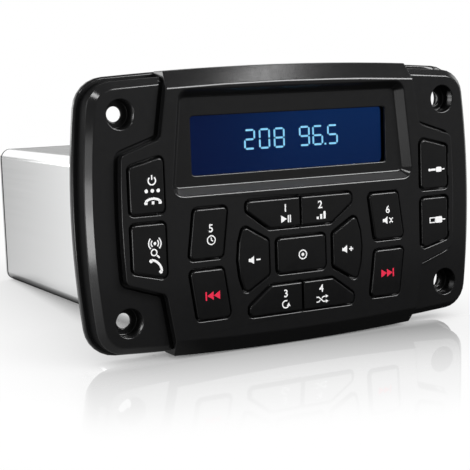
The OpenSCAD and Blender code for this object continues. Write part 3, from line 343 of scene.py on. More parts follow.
# finishes: two tones mottled together, roughness that varies and a fine grain
finishes = {
    "black_plastic": {"dark": (0.0085, 0.0085, 0.0088), "light": (0.0098, 0.0098, 0.0101), "mottle": 420,
                      "rough": (0.16, 0.185), "grain": 4200, "bump": 0.03, "specular": 0.5},
    # painted shade: a darker, matt copy of the black plastic for the flange's side walls
    "black_wall_painted_shade": {"dark": (0.004, 0.004, 0.0042), "light": (0.006, 0.006, 0.0063), "mottle": 180,
                   "rough": (0.5, 0.6), "grain": 3200, "bump": 0.1, "specular": 0.03},
    # painted light: a lighter copy of the black plastic for the recess's upward-facing lower wall
    "black_slope_painted_light": {"dark": (0.036, 0.036, 0.037), "light": (0.042, 0.042, 0.043), "mottle": 420,
                    "rough": (0.3, 0.36), "grain": 4200, "bump": 0.03, "specular": 0.5},
    "key_rubber": {"dark": (0.005, 0.005, 0.0052), "light": (0.006, 0.006, 0.0062), "mottle": 420,
                   "rough": (0.19, 0.22), "grain": 5200, "bump": 0.04, "specular": 0.5},
    "cover_rubber": {"dark": (0.005, 0.005, 0.0052), "light": (0.006, 0.006, 0.0062), "mottle": 420,
                     "rough": (0.19, 0.22), "grain": 5200, "bump": 0.04, "specular": 0.5},
    "seal_rubber": {"dark": (0.012, 0.012, 0.012), "light": (0.02, 0.02, 0.02), "mottle": 300,
                    "rough": (0.6, 0.75), "grain": 3000, "bump": 0.08, "specular": 0.35},
    "foam": {"dark": (0.012, 0.012, 0.0125), "light": (0.034, 0.034, 0.035), "mottle": 1600,
             "rough": (0.85, 0.95), "grain": 1500, "bump": 0.6, "specular": 0.2},
    "dark_fittings": {"dark": (0.012, 0.012, 0.0125), "light": (0.02, 0.02, 0.021), "mottle": 260,
                      "rough": (0.36, 0.5), "grain": 3600, "bump": 0.06, "specular": 0.45},
    "white_plastic": {"dark": (0.66, 0.65, 0.6), "light": (0.78, 0.77, 0.72), "mottle": 200,
                      "rough": (0.38, 0.5), "grain": 3000, "bump": 0.05, "specular": 0.5},
    "light_guide": {"dark": (0.74, 0.78, 0.83), "light": (0.84, 0.87, 0.9), "mottle": 200,
                    "rough": (0.12, 0.2), "grain": 2000, "bump": 0.02, "specular": 0.5},
    "circuit_board": {"dark": (0.008, 0.09, 0.035), "light": (0.014, 0.14, 0.055), "mottle": 420,
                      "rough": (0.28, 0.42), "grain": 2600, "bump": 0.1, "specular": 0.5},
    "capacitor_sleeve": {"dark": (0.016, 0.026, 0.06), "light": (0.026, 0.04, 0.09), "mottle": 240,
                         "rough": (0.2, 0.3), "grain": 2400, "bump": 0.03, "specular": 0.5},
    "fuse_red": {"dark": (0.36, 0.02, 0.012), "light": (0.5, 0.035, 0.02), "mottle": 260,
                 "rough": (0.16, 0.26), "grain": 2400, "bump": 0.03, "specular": 0.5},
    "lcd_glass": {"dark": (0.002, 0.0025, 0.004), "light": (0.003, 0.0035, 0.006), "mottle": 120,
                  "rough": (0.08, 0.12), "grain": 1200, "bump": 0.01, "specular": 0.5},
}
# metals: the noise is stretched to drawn lines
metals = {
    "silver_metal": {"dark": (0.84, 0.845, 0.845), "light": (0.87, 0.875, 0.875), "stretch": (900, 14, 900),
                     "rough": (0.12, 0.17), "bump": 0.02},
    "steel": {"dark": (0.5, 0.505, 0.51), "light": (0.62, 0.625, 0.63), "stretch": (500, 500, 60),
              "rough": (0.22, 0.34), "bump": 0.03},
    "copper_wire": {"dark": (0.5, 0.17, 0.06), "light": (0.66, 0.26, 0.1), "stretch": (600, 600, 600),
                    "rough": (0.2, 0.3), "bump": 0.05},
    "pin_brass": {"dark": (0.62, 0.45, 0.16), "light": (0.76, 0.58, 0.24), "stretch": (500, 90, 500),
                  "rough": (0.22, 0.32), "bump": 0.03},
}
texture = {
    "mottle": 3.0, "grain": 1.0, "lines": 4.0,  # detail of each noise
    "spread": (0.3, 0.7),  # noise between which the roughness runs
    "grainHeight": 0.00008,  # metres
}
madeMaterials = {}


def noiseNode(tree, vector, scale, detail):
    noise = tree.nodes.new("ShaderNodeTexNoise")
    noise.inputs["Scale"].default_value = scale
    noise.inputs["Detail"].default_value = detail
    tree.links.new(vector, noise.inputs["Vector"])
    return noise.outputs[0]


def blankMaterial(name):
    mat = bpy.data.materials.new(name)
    tree, out = emptyTree(mat, "ShaderNodeOutputMaterial")
    shader = tree.nodes.new("ShaderNodeBsdfPrincipled")
    tree.links.new(shader.outputs[0], out)
    return mat, tree, shader


def dressShader(tree, shader, look, mottle, grain):
    tree.links.new(toneNode(tree, mottle, look["dark"], look["light"]), shader.inputs["Base Color"])
    tree.links.new(spanNode(tree, mottle, texture["spread"], look["rough"]), shader.inputs["Roughness"])
    bump = tree.nodes.new("ShaderNodeBump")
    bump.inputs["Strength"].default_value = look["bump"]
    bump.inputs["Distance"].default_value = texture["grainHeight"]
    tree.links.new(grain, bump.inputs["Height"])
    tree.links.new(bump.outputs[0], shader.inputs["Normal"])


def mouldedMaterial(name, look):
    mat, tree, shader = blankMaterial(name)
    place = placeNode(tree)
    shader.inputs["Specular IOR Level"].default_value = look["specular"]
    mottle = noiseNode(tree, place, look["mottle"], texture["mottle"])
    grain = noiseNode(tree, place, look["grain"], texture["grain"])
    dressShader(tree, shader, look, mottle, grain)
    return mat


def metalMaterial(name, look):
    mat, tree, shader = blankMaterial(name)
    stretch = tree.nodes.new("ShaderNodeMapping")
    stretch.inputs["Scale"].default_value = look["stretch"]
    tree.links.new(placeNode(tree), stretch.inputs["Vector"])
    shader.inputs["Metallic"].default_value = 1.0
    lines = noiseNode(tree, stretch.outputs[0], 1.0, texture["lines"])
    dressShader(tree, shader, look, lines, lines)
    return mat


for finishName, look in finishes.items():
    madeMaterials[finishName] = mouldedMaterial(finishName, look)
for finishName, look in metals.items():
    madeMaterials[finishName] = metalMaterial(finishName, look)

lensLook = {"tint": (0.86, 0.92, 1.0), "ior": 1.2, "rough": (0.015, 0.045), "haze": 60.0}


def lensMaterial():
    mat, tree, shader = blankMaterial("clear_lens")
    shader.inputs["Base Color"].default_value = (*lensLook["tint"], 1)
    shader.inputs["Transmission Weight"].default_value = 1.0
    shader.inputs["IOR"].default_value = lensLook["ior"]
    haze = noiseNode(tree, placeNode(tree), lensLook["haze"], texture["mottle"])  # faint finger haze
    tree.links.new(spanNode(tree, haze, (0.0, 1.0), lensLook["rough"]), shader.inputs["Roughness"])
    return mat


madeMaterials["clear_lens"] = lensMaterial()
print("finishes made:", len(madeMaterials))


def settle(obj, body, slot, *stoodFor):
    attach(obj, body)
    if stoodFor:
        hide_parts(*stoodFor)
    return obj


def smooth(mesh, angle):
    mesh.shade_smooth()
    mesh.set_sharp_from_angle(angle=math.radians(angle))


def meshFrom(bm, name):
    mesh = bpy.data.meshes.new(name)
    bm.to_mesh(mesh)
    bm.free()
    return mesh


# moulded pieces: the CAD form with its edges rounded by "edge" mm
# edges between the depths "from" and "to" are rounded, except those that lie in a plane of "keep", mm along Y
moulded = {
    "mounting_flange": {"edge": 0.4, "to": -2.0, "keep": (-3.7, -3.5), "slot": "black_plastic"},
    "front_panel": {"edge": 0.4, "to": -3.0, "keep": (-12.8, -12.0, -10.3, -6.7, -3.8),
                    "slot": "black_plastic"},
    "port_plate": {"edge": 0.15, "to": -12.5, "slot": "black_plastic"},
    "mounting_gasket": {"edge": 0.2, "slot": "foam"},
    "housing_sleeve": {"edge": 0.3, "from": 129.0, "slot": "silver_metal"},
    "rear_plate": {"edge": 0.4, "from": 132.0, "slot": "silver_metal"},
    "aux_jack": {"edge": 0.25, "to": -12.0, "slot": "dark_fittings"},
    "usb_socket": {"edge": 0.12, "to": -12.0, "slot": "steel"},
    "harness_socket": {"edge": 0.3, "from": 136.0, "slot": "dark_fittings"},
    "antenna_socket": {"edge": 0.4, "from": 137.0, "slot": "steel"},
    "fuse_holder": {"edge": 0.35, "from": 132.0, "slot": "dark_fittings"},
    "blade_fuse": {"edge": 0.4, "from": 132.0, "slot": "fuse_red"},
}
rounding = {
    "sharp": 28.0, "flat": 0.5, "smooth": 45.0,  # degrees
    "weld": 0.002, "inPlane": 0.03,  # mm
    "steps": 3,
}
# matt side walls of the flange, with painted shade: a darker copy of the black plastic; depths in mm and the
# most that a face may look forward or back
# the walls around the screw holes stay as they are: the holes' x, z and a radius
shadedSideWalls = {"depth": (-11.0, -4.2), "lean": 0.3, "holes": (63.5, 33.7, 8.0)}
# lower wall of the display's recess, with painted light: a lighter copy of the black plastic; depths and
# heights in mm and how far it faces up
litRecessWall = {"depth": (-15.0, -11.5), "height": (5.8, 9.0), "lean": (0.7, 0.9)}


def cleanCopy(node):
    bm = bmesh.new()
    bm.from_mesh(nodes[node].data)
    bmesh.ops.remove_doubles(bm, verts=bm.verts[:], dist=rounding["weld"] * mm)
    bmesh.ops.dissolve_limit(bm, angle_limit=math.radians(rounding["flat"]),
                             verts=bm.verts[:], edges=bm.edges[:])
    return bm


def isSharp(edge):
    return len(edge.link_faces) == 2 and edge.calc_face_angle(0.0) > math.radians(rounding["sharp"])


def isRounded(edge, soft):
    near, far = sorted(v.co.y / mm for v in edge.verts)
    for y in soft.get("keep", ()):
        if abs(near - y) < rounding["inPlane"] and abs(far - y) < rounding["inPlane"]:
            return False
    return far > soft.get("from", -math.inf) and near < soft.get("to", math.inf)


def isShadedSideWall(face):
    x, y, z = face.center / mm
    near, far = shadedSideWalls["depth"]
    holeX, holeZ, reach = shadedSideWalls["holes"]
    atHole = math.hypot(abs(x) - holeX, abs(z) - holeZ) < reach
    return abs(face.normal.y) < shadedSideWalls["lean"] and near < y < far and not atHole


def isLitRecessWall(face):
    at = {"depth": face.center.y / mm, "height": face.center.z / mm, "lean": face.normal.z}
    return all(low < at[key] < high for key, (low, high) in litRecessWall.items())


# second finish of a moulded piece and the faces that take it: painted shade on the flange's side walls,
# painted light on the recess's lower wall
paintedShadeAndLight = {"mounting_flange": ("black_wall_painted_shade", isShadedSideWall), "front_panel": ("black_slope_painted_light", isLitRecessWall)}


def facedObject(name, mesh):
    obj = link(bpy.data.objects.new(name, mesh))
    obj.modifiers.new("faceWeight", "WEIGHTED_NORMAL").keep_sharp = True
    return obj


def mouldedPiece(node, soft):
    bm = cleanCopy(node)
    sharp = [e for e in bm.edges if isSharp(e) and isRounded(e, soft)]
    bmesh.ops.bevel(bm, geom=sharp, offset=soft["edge"] * mm, offset_type="OFFSET",
                    segments=rounding["steps"], profile=0.5, affect="EDGES",
                    clamp_overlap=False, loop_slide=True)
    mesh = meshFrom(bm, node + "Moulded")
    smooth(mesh, rounding["smooth"])
    mesh.materials.append(madeMaterials[soft["slot"]])
    # painted shade and painted light go on as a second finish
    if node in paintedShadeAndLight:
        finish, isPainted = paintedShadeAndLight[node]
        mesh.materials.append(madeMaterials[finish])
        for face in mesh.polygons:
            face.material_index = int(isPainted(face))
    return settle(facedObject(node + "_moulded", mesh), rootBody, soft["slot"], node)


for nodeName, soft in moulded.items():
    mouldedPiece(nodeName, soft)
print("moulded pieces:", len(moulded))

# keys and covers already have soft edges in the CAD, so they only get smooth shading
capAngle = 50.0
keyNames = [n for n in nodes if n.startswith("key_") and n in frame["bodies"]]
coverNames = ["aux_cover", "usb_cover"]


def capSlot(node):
    return "cover_rubber" if node in coverNames else "key_rubber"


def smoothCap(node):
    mesh = meshFrom(cleanCopy(node), node + "Cap")
    smooth(mesh, capAngle)
    mesh.materials.append(madeMaterials[capSlot(node)])
    return settle(facedObject(node + "_cap", mesh), node, capSlot(node), node)


for nodeName in keyNames + coverNames:
    smoothCap(nodeName)
print("keys and covers:", len(keyNames + coverNames))

# flat shapes on the face: closed slabs in mm, x to the right and z up
slabs = {"weld": 0.0005, "mitre": 0.4}  # mm, and a limit to how far a stroke's sharp corner reaches out


def addSlab(bm, outline, front, depth):
    near = [bm.verts.new((x * mm, front * mm, z * mm)) for x, z in outline]
    far = [bm.verts.new((x * mm, (front + depth) * mm, z * mm)) for x, z in outline]
    bm.faces.new(near)
    bm.faces.new(far[::-1])
    for k in range(len(outline)):
        n = (k + 1) % len(outline)
        bm.faces.new((near[n], near[k], far[k], far[n]))


def addStroke(bm, points, width, front, depth, closed=False):
    points = [Vector(p) for p in points]
    count = len(points)
    left, right = [], []
    for k, p in enumerate(points):
        before = points[k - 1] if closed or k else p
        after = points[(k + 1) % count] if closed or k < count - 1 else p
        a, b = (p - before), (after - p)
        a = a.normalized() if a.length else b.normalized()
        b = b.normalized() if b.length else a
        side = Vector((-a.y - b.y, a.x + b.x)).normalized()
        reach = width / 2 / max(slabs["mitre"], side.dot(Vector((-a.y, a.x))))
        left.append(p + side * reach)
        right.append(p - side * reach)
    if closed:
        rows = [[bm.verts.new((q.x * mm, y * mm, q.y * mm)) for q in line]
                for line, y in ((left, front), (right, front), (right, front + depth), (left, front + depth))]
        for k in range(count):
            n = (k + 1) % count
            for r in range(4):
                u, v = rows[r], rows[(r + 1) % 4]
                bm.faces.new((u[k], u[n], v[n], v[k]))
    else:
        addSlab(bm, [tuple(q) for q in left + right[::-1]], front, depth)


def arcPoints(centre, radius, start, end, steps):
    turn = [math.radians(start + (end - start) * k / steps) for k in range(steps + 1)]
    return [(centre[0] + radius * math.cos(a), centre[1] + radius * math.sin(a)) for a in turn]


def circlePoints(centre, radius, count):
    return arcPoints(centre, radius, 0, 360 - 360 / count, count - 1)


def roundedBox(w, h, r, x=0.0, z=0.0, steps=3):
    a, b = w / 2 - r, h / 2 - r
    corners = ((a, b, 0), (-a, b, 90), (-a, -b, 180), (a, -b, 270))
    return [q for cx, cz, turn in corners for q in arcPoints((x + cx, z + cz), r, turn, turn + 90, steps)]


def slabObject(name, bm, material):
    bmesh.ops.remove_doubles(bm, verts=bm.verts[:], dist=slabs["weld"] * mm)
    bmesh.ops.recalc_face_normals(bm, faces=bm.faces[:])
    mesh = meshFrom(bm, name)
    mesh.materials.append(material)
    return link(bpy.data.objects.new(name, mesh))


# legends: plain numbers and pictures in place of words, each on its own key and moving with it
def fill(points):
    return "fill", points


def line(points, width):
    return "line", points, width


def dot(radius, x=0.0, z=0.0):
    return fill(circlePoints((x, z), radius, 16))


def box(w, h, x=0.0, z=0.0):
    a, b = w / 2, h / 2
    return fill([(x + a, z + b), (x - a, z + b), (x - a, z - b), (x + a, z - b)])


def ring(radius, width, x=0.0, z=0.0):
    return "loop", circlePoints((x, z), radius, 24), width


def arrow(x, z, size, turn):
    return fill(arcPoints((x, z), size, turn, turn + 240, 2))


speaker = [fill([(-2.4, 0.55), (-1.6, 0.55), (-0.4, 1.4), (-0.4, -1.4), (-1.6, -0.55), (-2.4, -0.55)])]
handset = [line(arcPoints((0, -3.7), 4.3, 52, 128, 16), 0.75),
           fill(roundedBox(1.15, 1.0, 0.3, -2.5, -0.75)), fill(roundedBox(1.15, 1.0, 0.3, 2.5, -0.75))]
skipNext = [fill([(-2.7, 1.45), (-2.7, -1.45), (-0.35, 0)]), fill([(-0.3, 1.45), (-0.3, -1.45), (2.05, 0)]),
            box(0.55, 2.9, 2.45)]
pictures = {
    "power": [line(arcPoints((0, -0.15), 1.3, 128, 412, 20), 0.44), line([(0, 0.1), (0, 1.65)], 0.44)],
    "mode": [dot(0.62, x) for x in (-2.1, 0, 2.1)],
    "hangUp": handset + [box(0.9, 1.0, 0, -0.75)],
    "answer": handset,
    "waves": [dot(0.5)] + [line(arcPoints((0, 0), r, side - 48, side + 48, 10), 0.42)
                           for r in (1.3, 2.2) for side in (0, 180)],
    "search": [ring(1.0, 0.42, -0.4, 0.4), line([(0.6, -0.6), (1.5, -1.5)], 0.55)],
    "clock": [ring(1.45, 0.38), line([(0, 0.9), (0, -0.05), (0.65, -0.4)], 0.36)],
    "playPause": [fill([(-1.9, 1.3), (-1.9, -1.3), (0.4, 0)]), box(0.45, 2.5, 0.95), box(0.45, 2.5, 1.75)],
    "intro": [box(0.85, 0.9, -1.4, -0.85), box(0.85, 1.7, 0, -0.45), box(0.85, 2.6, 1.4, 0)],
    "mute": speaker + [line([(0.4, 0.8), (1.15, 0.05), (1.9, 0.8)], 0.4),
                       line([(0.4, -0.9), (1.15, -0.3), (1.9, -0.9)], 0.4)],
    "repeat": [line(arcPoints((0, 0), 1.25, 60, 330, 18), 0.44), arrow(1.15, -0.3, 0.85, 85)],
    "shuffle": [line([(-2.4, 0.85), (-1.5, 0.85), (0.4, -0.85), (1.3, -0.85)], 0.4),
                arrow(1.75, -0.85, 0.7, 0),
                line([(-2.4, -0.85), (-1.5, -0.85), (-0.85, -0.3)], 0.4),
                line([(-0.2, 0.3), (0.4, 0.85), (1.3, 0.85)], 0.4),
                arrow(1.75, 0.85, 0.7, 0)],
    "softer": speaker + [box(1.6, 0.5, 1.3)],
    "louder": speaker + [box(1.6, 0.5, 1.3), box(0.5, 0.55, 1.3, 0.53), box(0.5, 0.55, 1.3, -0.53)],
    "select": [ring(1.5, 0.42), dot(0.6)],
    "next": skipNext,
    "previous": [fill([(-x, z) for x, z in points]) for _, points in skipNext],
    "jack": [dot(0.5, -3.1), box(2.4, 0.75, -1.55),
             fill(roundedBox(2.5, 1.8, 0.4, 1.05)), box(1.3, 0.4, 3.0)],
    "plug": [("loop", [(-3.2, 0.85), (-3.2, -0.85), (-0.8, -0.85), (-0.8, 0.85)], 0.36),
             fill(roundedBox(2.8, 2.3, 0.35, 0.85)), box(1.3, 0.45, 2.95)],
}
legends = {  # what stands on each key: x and z in mm and a turn in degrees
    "key_power": (("power", -55.3, 12.4, 0), ("mode", -55.3, 9.0, 0), ("hangUp", -55.2, 5.9, 0)),
    "key_band": (("waves", -55.2, -8.0, 0), ("search", -55.2, -11.3, 0), ("answer", -54.6, -15.0, -48)),
    "key_1": (("1", -6.2, -0.6, 0), ("playPause", -6.1, -4.2, 0)),
    "key_2": (("2", 7.7, -0.5, 0), ("intro", 8.0, -4.1, 0)),
    "key_3": (("3", -7.0, -29.9, 0), ("repeat", -7.2, -33.5, 0)),
    "key_4": (("4", 7.3, -29.7, 0), ("shuffle", 7.6, -33.4, 0)),
    "key_5": (("5", -34.8, -5.0, 0), ("clock", -34.8, -8.8, 0)),
    "key_6": (("6", 35.9, -4.5, 0), ("mute", 36.1, -8.2, 0)),
    "key_volume_down": (("softer", -18.6, -17.0, 0),),
    "key_volume_up": (("louder", 18.7, -16.9, 0),),
    "key_select": (("select", 0.2, -17.0, 0),),
    "key_previous": (("previous", -35.0, -27.3, 0),),
    "key_next": (("next", 35.3, -27.1, 0),),
    "aux_cover": (("jack", 57.6, 8.4, 0),),
    "usb_cover": (("plug", 57.6, -9.9, 0),),
}
printing = {
    "proud": 0.025, "sunk": 0.03, "numberSize": 3.7, "weight": 0.05,  # mm
    "curveSteps": 6,
}
redKeys = ("key_previous", "key_next")
# the inks' glow is painted light that keeps the legends bright
inks = {
    "white": {"dark": (0.78, 0.78, 0.78), "light": (0.88, 0.88, 0.88), "mottle": 900, "rough": (0.5, 0.6),
              "grain": 2400, "bump": 0.02, "specular": 0.2, "glow": 0.12},
    "red": {"dark": (0.62, 0.016, 0.05), "light": (0.72, 0.022, 0.065), "mottle": 900, "rough": (0.5, 0.6),
            "grain": 2400, "bump": 0.02, "specular": 0.2, "glow": 0.2},
}


def inkMaterial(name):
    look = inks[name]
    mat = mouldedMaterial(name + "_ink", look)
    shader = mat.node_tree.nodes["Principled BSDF"]
    shader.inputs["Emission Color"].default_value = (*look["light"], 1)  # painted light: the ink glows a little so that it stays white
    shader.inputs["Emission Strength"].default_value = look["glow"]
    return mat


def evaluatedMesh(obj):
    return bpy.data.meshes.new_from_object(obj.evaluated_get(bpy.context.evaluated_depsgraph_get()))


def addNumber(bm, text, x, z, front, depth):
    curve = bpy.data.curves.new("number", "FONT")
    curve.body = text
    curve.align_x, curve.align_y = "CENTER", "CENTER"
    curve.size = printing["numberSize"] * mm
    curve.offset = printing["weight"] * mm
    curve.extrude = depth / 2 * mm
    curve.resolution_u = printing["curveSteps"]
    obj = link(bpy.data.objects.new("number", curve))
    mesh = evaluatedMesh(obj)
    shift = Matrix.Translation((x * mm, (front + depth / 2) * mm, z * mm))
    mesh.transform(shift @ Matrix.Rotation(math.pi / 2, 4, "X"))
    bm.from_mesh(mesh)
    bpy.data.objects.remove(obj)
    bpy.data.meshes.remove(mesh)


def addPicture(bm, name, x, z, turn, front, depth):
    c, s = math.cos(math.radians(turn)), math.sin(math.radians(turn))
    for kind, points, *width in pictures[name]:
        placed = [(x + c * px - s * pz, z + s * px + c * pz) for px, pz in points]
        if kind == "fill":
            addSlab(bm, placed, front, depth)
        else:
            addStroke(bm, placed, width[0], front, depth, kind == "loop")


def legendPiece(node, ink):
    top = min(v.co.y for v in nodes[node].data.vertices) / mm
    front, depth = top - printing["proud"], printing["proud"] + printing["sunk"]
    bm = bmesh.new()
    for name, x, z, turn in legends[node]:
        if name.isdigit():
            addNumber(bm, name, x, z, front, depth)
        else:
            addPicture(bm, name, x, z, turn, front, depth)
    return settle(slabObject(node + "_legend", bm, ink), node, capSlot(node))


whiteInk, redInk = inkMaterial("white"), inkMaterial("red")
for nodeName in keyNames + coverNames:
    legendPiece(nodeName, redInk if nodeName in redKeys else whiteInk)
print("legends made")

# display: a lens with a small gap behind it, the lit field and the segments in that gap
window = {"size": (83.0, 25.1), "x": 0.0, "z": 22.15, "r": 0.3, "steps": 3, "front": -9.9, "depth": 0.88}
field = {
    "size": (77.6, 20.6), "x": -0.7, "z": 22.2, "r": 2.2, "steps": 8, "front": -8.93, "depth": 0.03,
    "deep": (0.0018, 0.0064, 0.037),
    "bright": (0.0025, 0.0185, 0.078),
    "across": (-0.044, 0.016),  # metres along X, the lamp behind the field is brighter right of the middle
    "upward": (0.012, 0.031),  # metres along Z
    "lowShare": 0.55,
    "base": (0.001, 0.002, 0.006),
    "rough": 0.6,
}
segments = {"tone": (0.29, 0.70, 0.95), "dim": 0.9, "mottle": 900, "glow": 0.95, "base": (0.02, 0.05, 0.07)}


def fieldMaterial():
    mat, tree, shader = blankMaterial("lit_field")
    place = splitNode(tree, placeNode(tree))
    across = spanNode(tree, place["X"], field["across"], smoothly=True)
    upward = spanNode(tree, place["Z"], field["upward"], (field["lowShare"], 1.0))
    tone = toneNode(tree, sumNode(tree, "MULTIPLY", across, upward), field["deep"], field["bright"])
    tree.links.new(tone, shader.inputs["Emission Color"])
    shader.inputs["Emission Strength"].default_value = 1.0
    shader.inputs["Base Color"].default_value = (*field["base"], 1)
    shader.inputs["Roughness"].default_value = field["rough"]
    shader.inputs["Specular IOR Level"].default_value = 0.0
    return mat


def segmentMaterial():
    mat, tree, shader = blankMaterial("lit_segments")
    mottle = noiseNode(tree, placeNode(tree), segments["mottle"], texture["mottle"])
    dim = [segments["dim"] * c for c in segments["tone"]]
    tree.links.new(toneNode(tree, mottle, dim, segments["tone"]), shader.inputs["Emission Color"])
    shader.inputs["Emission Strength"].default_value = segments["glow"]
    shader.inputs["Base Color"].default_value = (*segments["base"], 1)
    return mat


def pane(name, part, material):
    bm = bmesh.new()
    outline = roundedBox(*part["size"], part["r"], part["x"], part["z"], part["steps"])
    addSlab(bm, outline, part["front"], part["depth"])
    return slabObject(name, bm, material)


# seven bars make each figure
figures = {
    # figure and its left edge
    "cells": (("2", -17.3), ("0", -11.5), ("8", -5.7), ("9", 4.4), ("6", 9.8), ("5", 15.9)),
    "low": 19.95, "wide": 3.7, "tall": 6.3,
    "bar": 3.0, "stroke": 0.68, "depth": 0.02, "front": -8.96,
    "barSteps": 12,
    "barEnd": 0.49,  # share of a bar's length, from its middle, past which the bar narrows
    "taper": -0.5,  # halves the stroke there
    "lying": 0.82, "standing": 0.86,  # share of a figure's side that a bar takes
    "point": (14.7, 19.95, 0.26),  # dot between figures: x, z and its bar's share of the full length
}
barsOf = {"0": "abcdef", "2": "abdeg", "5": "acdfg", "6": "acdefg", "8": "abcdefg", "9": "abcdfg"}


def startTree(name, inputs):
    tree = bpy.data.node_groups.new(name, "GeometryNodeTree")
    ids = {}
    for label, kind in inputs.items():
        socket = tree.interface.new_socket(name=label, in_out="INPUT", socket_type="NodeSocket" + kind)
        ids[label] = socket.identifier
    tree.interface.new_socket(name="Pieces", in_out="OUTPUT", socket_type="NodeSocketGeometry")
    return tree, ids, tree.nodes.new("NodeGroupInput").outputs


# one copy of the shape on each point, as a real mesh with its finish
def endTree(tree, start, shape, **eachInput):
    new, join = tree.nodes.new, tree.links.new
    each = new("GeometryNodeInstanceOnPoints")
    join(start["Points"], each.inputs["Points"])
    join(shape, each.inputs["Instance"])
    for name, source in eachInput.items():
        join(source, each.inputs[name.capitalize()])
    real = new("GeometryNodeRealizeInstances")
    join(each.outputs[0], real.inputs[0])
    finish = new("GeometryNodeSetMaterial")
    join(real.outputs[0], finish.inputs["Geometry"])
    join(start["Finish"], finish.inputs["Material"])
    join(finish.outputs[0], new("NodeGroupOutput").inputs[0])


def vectorNode(tree, x=0.0, y=0.0, z=0.0):
    node = tree.nodes.new("ShaderNodeCombineXYZ")
    for term, socket in zip((x, y, z), node.inputs):
        feed(tree, term, socket)
    return node.outputs[0]


def meshPlace(tree):
    return splitNode(tree, tree.nodes.new("GeometryNodeInputPosition").outputs[0])


# moves the points of a mesh where the value is above the limit
def pushNode(tree, mesh, value, limit, shift):
    above = tree.nodes.new("FunctionNodeCompare")
    above.operation = "GREATER_THAN"
    tree.links.new(value, above.inputs[0])
    tree.links.new(limit, above.inputs[1])
    push = tree.nodes.new("GeometryNodeSetPosition")
    tree.links.new(mesh, push.inputs["Geometry"])
    tree.links.new(above.outputs[0], push.inputs["Selection"])
    tree.links.new(shift, push.inputs["Offset"])
    return push.outputs[0]


def moveNode(tree, mesh, rise=0.0, turn=(0.0, 0.0, 0.0)):
    move = tree.nodes.new("GeometryNodeTransform")
    tree.links.new(mesh, move.inputs["Geometry"])
    tree.links.new(vectorNode(tree, z=rise), move.inputs["Translation"])
    move.inputs["Rotation"].default_value = turn
    return move.outputs[0]


def pointVector(tree, name):
    attribute = tree.nodes.new("GeometryNodeInputNamedAttribute")
    attribute.data_type = "FLOAT_VECTOR"
    attribute.inputs["Name"].default_value = name
    return attribute.outputs[0]


def barTree():
    tree, ids, start = startTree("displayBars", {"Points": "Geometry", "Length": "Float", "Stroke": "Float",
                                                 "Depth": "Float", "Finish": "Material"})
    bar = tree.nodes.new("GeometryNodeMeshCube")
    bar.inputs["Vertices X"].default_value = figures["barSteps"]
    size = vectorNode(tree, start["Length"], start["Depth"], start["Stroke"])
    tree.links.new(size, bar.inputs["Size"])
    place = meshPlace(tree)
    out = sumNode(tree, "ABSOLUTE", place["X"])  # distance from the bar's middle
    barEnd = sumNode(tree, "MULTIPLY", start["Length"], figures["barEnd"])
    narrow = vectorNode(tree, z=sumNode(tree, "MULTIPLY", place["Z"], figures["taper"]))
    shape = pushNode(tree, bar.outputs["Mesh"], out, barEnd, narrow)
    rotation = tree.nodes.new("FunctionNodeEulerToRotation")
    tree.links.new(pointVector(tree, "turn"), rotation.inputs[0])
    endTree(tree, start, shape, rotation=rotation.outputs[0], scale=pointVector(tree, "reach"))
    return tree, ids


def pointMesh(name, places, attributes):
    mesh = bpy.data.meshes.new(name)
    mesh.from_pydata(places, [], [])
    for key, values in attributes.items():
        layer = mesh.attributes.new(key, "FLOAT_VECTOR", "POINT")
        for k, value in enumerate(values):
            layer.data[k].vector = value
    return mesh


def nodesToMesh(name, mesh, tree, values):
    obj = link(bpy.data.objects.new(name, mesh))
    mod = obj.modifiers.new("nodes", "NODES")
    mod.node_group = tree
    for identifier, value in values.items():
        mod[identifier] = value
    made = evaluatedMesh(obj)
    obj.modifiers.remove(mod)
    obj.data = made
    made.name = name
    return obj


def figurePoints():
    low, wide, tall = figures["low"], figures["wide"], figures["tall"]
    along = wide / figures["bar"] * figures["lying"]
    upright = tall / 2 / figures["bar"] * figures["standing"]
    # middle of each bar, and 1 where it stands
    spots = {"a": (wide / 2, tall, 0), "d": (wide / 2, 0, 0), "g": (wide / 2, tall / 2, 0),
             "b": (wide, tall * 0.75, 1), "c": (wide, tall * 0.25, 1),
             "e": (0, tall * 0.25, 1), "f": (0, tall * 0.75, 1)}
    places, turns, reaches = [], [], []
    for figure, left in figures["cells"]:
        for bar in barsOf[figure]:
            x, z, stands = spots[bar]
            places.append(((left + x) * mm, figures["front"] * mm, (low + z) * mm))
            turns.append((0, math.pi / 2 * stands, 0))
            reaches.append((upright if stands else along, 1, 1))
    x, z, share = figures["point"]
    places.append((x * mm, figures["front"] * mm, z * mm))
    turns.append((0, 0, 0))
    reaches.append((share, 1, 1))
    return pointMesh("figurePoints", places, {"turn": turns, "reach": reaches})


def figurePiece():
    tree, ids = barTree()
    values = {ids["Length"]: figures["bar"] * mm, ids["Stroke"]: figures["stroke"] * mm,
              ids["Depth"]: figures["depth"] * mm, ids["Finish"]: segmentMaterial()}
    return settle(nodesToMesh("lit_figures", figurePoints(), tree, values), rootBody, "lcd_glass")


settle(pane("display_window", window, madeMaterials["clear_lens"]), rootBody, "clear_lens", "display_lens")
settle(pane("lit_field", field, fieldMaterial()), rootBody, "lcd_glass")
figurePiece()
print("display lit")

# screws in the rear plate, with domed heads and a cross recess
rearScrews = {
    "places": [(x, 132.6, z) for x in (-40.0, 40.0) for z in (-34.0, 13.2)],  # mm, on the plate's outer face
    "head": 5.4, "tall": 1.8, "dome": 0.8, "shank": 3.0, "long": 12.0, "slot": (3.0, 0.75, 1.0),
    "sides": 32, "headRings": 6,
    "shankRise": -0.49,  # middle of the shank as a share of its length, so that it reaches into the head
    "smooth": 30.0,  # degrees
}


